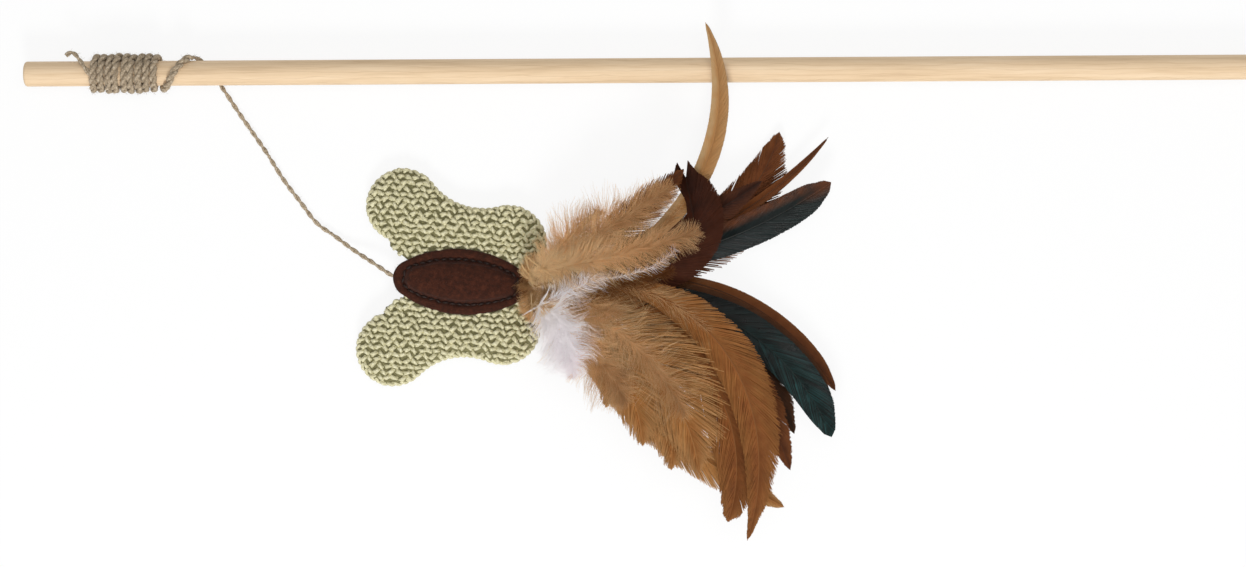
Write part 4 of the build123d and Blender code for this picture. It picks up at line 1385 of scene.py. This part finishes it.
def barb_reach(length, edges, half):
    """How far out each barb must end, so that the barbs' ends draw the vane's outline."""
    reach = []
    for share in shares:
        angle = ROOT_ANGLE + (TIP_ANGLE - ROOT_ANGLE) * share
        forward = (cos(angle) + BARB_BEND) / sin(angle) / length
        short, far = 0.0, max(half)
        for _ in range(18):
            out = (short + far) / 2
            inside = np.interp(share + out * forward, edges, half, right=0.0) > out
            short, far = (out, far) if inside else (short, out)
        reach.append(short)
    return reach


downy = evenly(DOWN_STEPS)
down_at = [DOWN_FROM + (DOWN_TO - DOWN_FROM) * share for share in downy]
down_broad = [(1.6 + 4.8 * sin(pi * min(0.16 + 0.84 * share, 1))) * MM for share in downy]
for index, (name, facts) in enumerate(FEATHERS.items()):
    name = "feather_" + name
    side, length, width, heading, bend, late, extra, form, lie, finish, slot, fluff = facts
    split, ruffle, ragged, thinning, step = lie
    length *= MM
    bed = (side, length, heading, bend, late, index + extra)
    turned = CURL_DONE if form is FORKED else 1.0
    line = line_mesh(name, spine_points(*bed, shares, turned=turned), along=shares,
                     breadth=barb_reach(length, *vane_edge(form, width * MM)),
                     stem=[QUILL / 2 * (1 - 0.75 * share) for share in shares])
    vane = grow(name + "_barbs", line, feather_tree, Spacing=step * MM, Barb=BARB, Root_Angle=ROOT_ANGLE,
                Tip_Angle=TIP_ANGLE, Clumps=CLUMPS, Split=split, Ruffle=ruffle, Ragged=ragged, Taper=thinning,
                Seed=100 + index, Finish=finish)
    line = line_mesh(name, spine_points(*bed, down_at, turned=turned), along=downy, breadth=down_broad,
                     tall=[DOWN_TALL] * len(downy))
    soft = grow(name + "_down", line, down_tree, Spacing=length * (DOWN_TO - DOWN_FROM) / DOWN_COUNT,
                Barb=0.065 * MM, Wave=0.9, Forward=1.4, Seed=200 + index, Finish=fluff)
    settle(merged(name + "_barbed", vane, soft), "feather_" + slot, name, body="toy")

# %% [markdown]
# ## Down plumes
# Tufts of down cover the quills: tan above, lavender-white in the middle and white behind the lower wing.
# Short tufts stand all round the quill bindings too, so that no bare thread shows from the side.

# %% Plume stems
PLUME_BASE, PLUME_HEIGHT = 0.5 * MM, 4.0 * MM
PLUME_STATIONS = (0.0, 0.07, 0.2, 0.4, 0.62, 0.83, 1.0)
PLUME_FORM = (0.08, 0.17, 0.58, 0.9, 1.0, 0.76, 0.14)
TOP_LAYER = 21.5
ROOT_STEPS, ROOT_HEIGHT = 5, 10.0 * MM
BINDING_TOP = max(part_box("quill_binding_upper")[1][2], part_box("quill_binding_lower")[1][2])
OVER_BINDING = 50.0 * MM
# name: row, level, slot, stems. A stem is its side, length in millimetres, heading, bend, lateness, half
# breadths along it, finish, hairs, and where its first hairs lie on the felt's tail, along and out from the
# head, or None. A wisp has its lift in millimetres and the share of the stem at which it begins instead
PLUMES = {
    "plume_tan_high": (0, 0, "down_tan", [
        (1, 50.0, 34, 4, 0, (7, 10, 13, 12, 10, 8, 3), tan_down, 3400, (42.0, 4.5)),
        (1, 27.0, 54, -14, 0, (4, 6, 8, 9, 9, 7, 3), tan_down, 1700, None)]),
    "plume_tan_high_front": (1, 1, "down_tan", [
        (1, 52.0, 10, 16, 0, (6, 8, 10, 10, 8, 7, 3), tan_down, 3200, (42.5, 2.0))]),
    "plume_tan_low": (0, 0, "down_tan", [
        (-1, 43.0, -26, -30, -0.4, (6, 9, 12, 12, 11, 8, 3), tan_down, 3000, (44.0, -6.0)),
        (-1, 62.0, 0, -66, 0, (3, 5, 9, 12, 12, 10, 4), tan_down, 1800, None)]),
    "plume_white_low": (1, 1, "down_pale", [
        (-1, 28.0, -10, -80, -0.7, (6, 9, 11, 11, 9, 6, 2), pale_down, 2000, None),
        (-1, 23.0, -52, -6, 0, (4, 6, 8, 8, 7, 6, 2), pale_down, 1200, None)]),
    "plume_pale_middle": (2, 0, "down_pale", [
        (-1, 45.0, 16, 4, 0, (4, 6, 7, 7, 7, 6, 2), brown_down, 1500, (42.5, 0.0)),
        (-1, 34.0, 30, -20, 0, (6, 7, 8, 9, 9, 7, 3), brown_down, 1700, (42.0, 3.5)),
        (1, 30.0, -40, 30, 0, (5, 6, 7, 8, 8, 7, 3), tan_down, 1200, (42.5, 0.5)),
        (-1, 23.0, 28, -4, 0, (1, 2, 4, 6, 6, 5, 3), pale_down, 420, (3.0, 0.3, "wisp")),
        (1, 46.0, -7, 60, 1, (1, 1, 2, 2, 3, 3, 2), pale_down, 300, (3.4, 0.42, "wisp"))]),
}


def plume_stem(name, row, level, seed, stem):
    """One stem's hairs, as a mesh."""
    side, length, heading, bend, late, breadths, finish, count, first = stem
    raised, begin, first = (first[0], first[1], None) if first and len(first) == 3 else (0.0, 0.0, first)
    shares = [begin + (1 - begin) * share for share in evenly(40)]
    form = [float(np.interp(share, PLUME_STATIONS, PLUME_FORM)) for share in shares]
    lift = [PLUME_BASE + level * (PLUME_HEIGHT + 2 * PLUME_BASE) * one + raised * MM for one in form]
    points = spine_points(side, length * MM, heading, bend, late, TOP_LAYER + row, shares, lift)
    broad = [float(np.interp(share, PLUME_STATIONS, breadths)) * MM for share in shares]
    tall = [(0.35 + 0.9 * one) * PLUME_HEIGHT for one in form]
    if first:
        root = toy_point(first[0] * MM, first[1] * MM, ROOT_HEIGHT)
        points = [root.lerp(points[0], k / ROOT_STEPS) for k in range(ROOT_STEPS)] + points
        shares, broad = [0.0] * ROOT_STEPS + shares, [broad[0] * 0.8] * ROOT_STEPS + broad
        tall = [tall[0]] * ROOT_STEPS + tall
    for point in points[2:]:
        if (point - toy_head).dot(toy_along) < OVER_BINDING:
            point.z = max(point.z, BINDING_TOP + 0.3 * MM)
    line = line_mesh(name, points, along=shares, breadth=broad, tall=tall)
    return grow(name + "_stem", line, down_tree, Spacing=length_of(points) / count, Barb=0.066 * MM, Wave=1.1,
                Forward=0.7, Seed=seed, Finish=finish)


# %% Plumes
# plume: the side of the binding that its tufts grow round (0: between the two), finish, turns and levels
COLLARS = {"plume_tan_high_front": (1, tan_down, 11, 7), "plume_white_low": (-1, tan_down, 11, 7),
           "plume_pale_middle": (0, brown_down, 6, 5)}
TUFT_OUT, TUFT_LONG, TUFT_DROP = 1.9 * MM, 3.0 * MM, 1.2 * MM
TUFT_LOW, TUFT_TOP = 2.2 * MM, BINDING_TOP - 0.8 * MM
TUFT_STEPS, TUFT_HAIRS = 6, 40


def collar(name, seed):
    """Short tufts of down all round one binding, from the floor to its top, as meshes."""
    side, finish, turns, levels = COLLARS[name]
    shares = evenly(TUFT_STEPS)
    tufts = []
    for level in range(levels):
        height = TUFT_LOW + (TUFT_TOP - TUFT_LOW) * level / (levels - 1)
        foot = toy_point(FAN_ALONG, side * BUNDLE_OUT, height)
        for turn in range(turns):
            way = tau * (turn / turns + level * 0.31)
            out = toy_along * cos(way) + toy_across * sin(way)
            points = [foot + out * (TUFT_OUT + TUFT_LONG * share) - Vector((0, 0, TUFT_DROP * share ** 2))
                      for share in shares]
            line = line_mesh(name, points, along=[0.2 + 0.5 * share for share in shares],
                             breadth=[(1.4 + 1.2 * share) * MM for share in shares],
                             tall=[DOWN_TALL] * len(shares))
            tufts.append(grow(name + "_tuft", line, down_tree, Spacing=TUFT_LONG / TUFT_HAIRS, Barb=0.05 * MM,
                              Wave=1.0, Forward=0.8, Seed=seed + 17 * level + turn, Finish=finish))
    return tufts


for index, (name, (row, level, slot, stems)) in enumerate(PLUMES.items()):
    tufts = [plume_stem(name, row, level, 300 + 10 * index + k, stem) for k, stem in enumerate(stems)]
    if name in COLLARS:
        tufts += collar(name, 400 + 200 * index)
    settle(merged(name + "_fluff", *tufts), slot, name, body="toy")

# %% [markdown]
# ## Quill bindings
# Dark thread is wound round each stack of quills where it is sewn to the knit. It is the same thread as the
# seam, in close turns round a tall narrow loop.

# %% Bindings
BINDING_TURNS, TURN_STEPS = 6, 36
BINDING_WIDE, BINDING_LONG = 2.4 * MM, 2.4 * MM


def squarer(share):
    """A sine or cosine drawn out to its corners."""
    return abs(share) ** 0.5 * (1 if share > 0 else -1)


for name in ("quill_binding_upper", "quill_binding_lower"):
    low, high = (Vector(corner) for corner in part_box(name))
    tall = (high.z - low.z) / 2 - 0.3 * MM
    points = []
    for step in range(BINDING_TURNS * TURN_STEPS + 1):
        turn = tau * step / TURN_STEPS
        shift = BINDING_LONG * (step / (BINDING_TURNS * TURN_STEPS) - 0.5)
        points.append((low + high) / 2 + toy_along * shift + toy_across * BINDING_WIDE * squarer(cos(turn))
                      + Vector((0, 0, tall * squarer(sin(turn)))))
    piece = twine(name + "_thread", points, 0.52 * MM, seed=41, fuzz=0.0, finish=thread_finish, step=0.8)
    settle(piece, "seam_thread", name, body="toy")
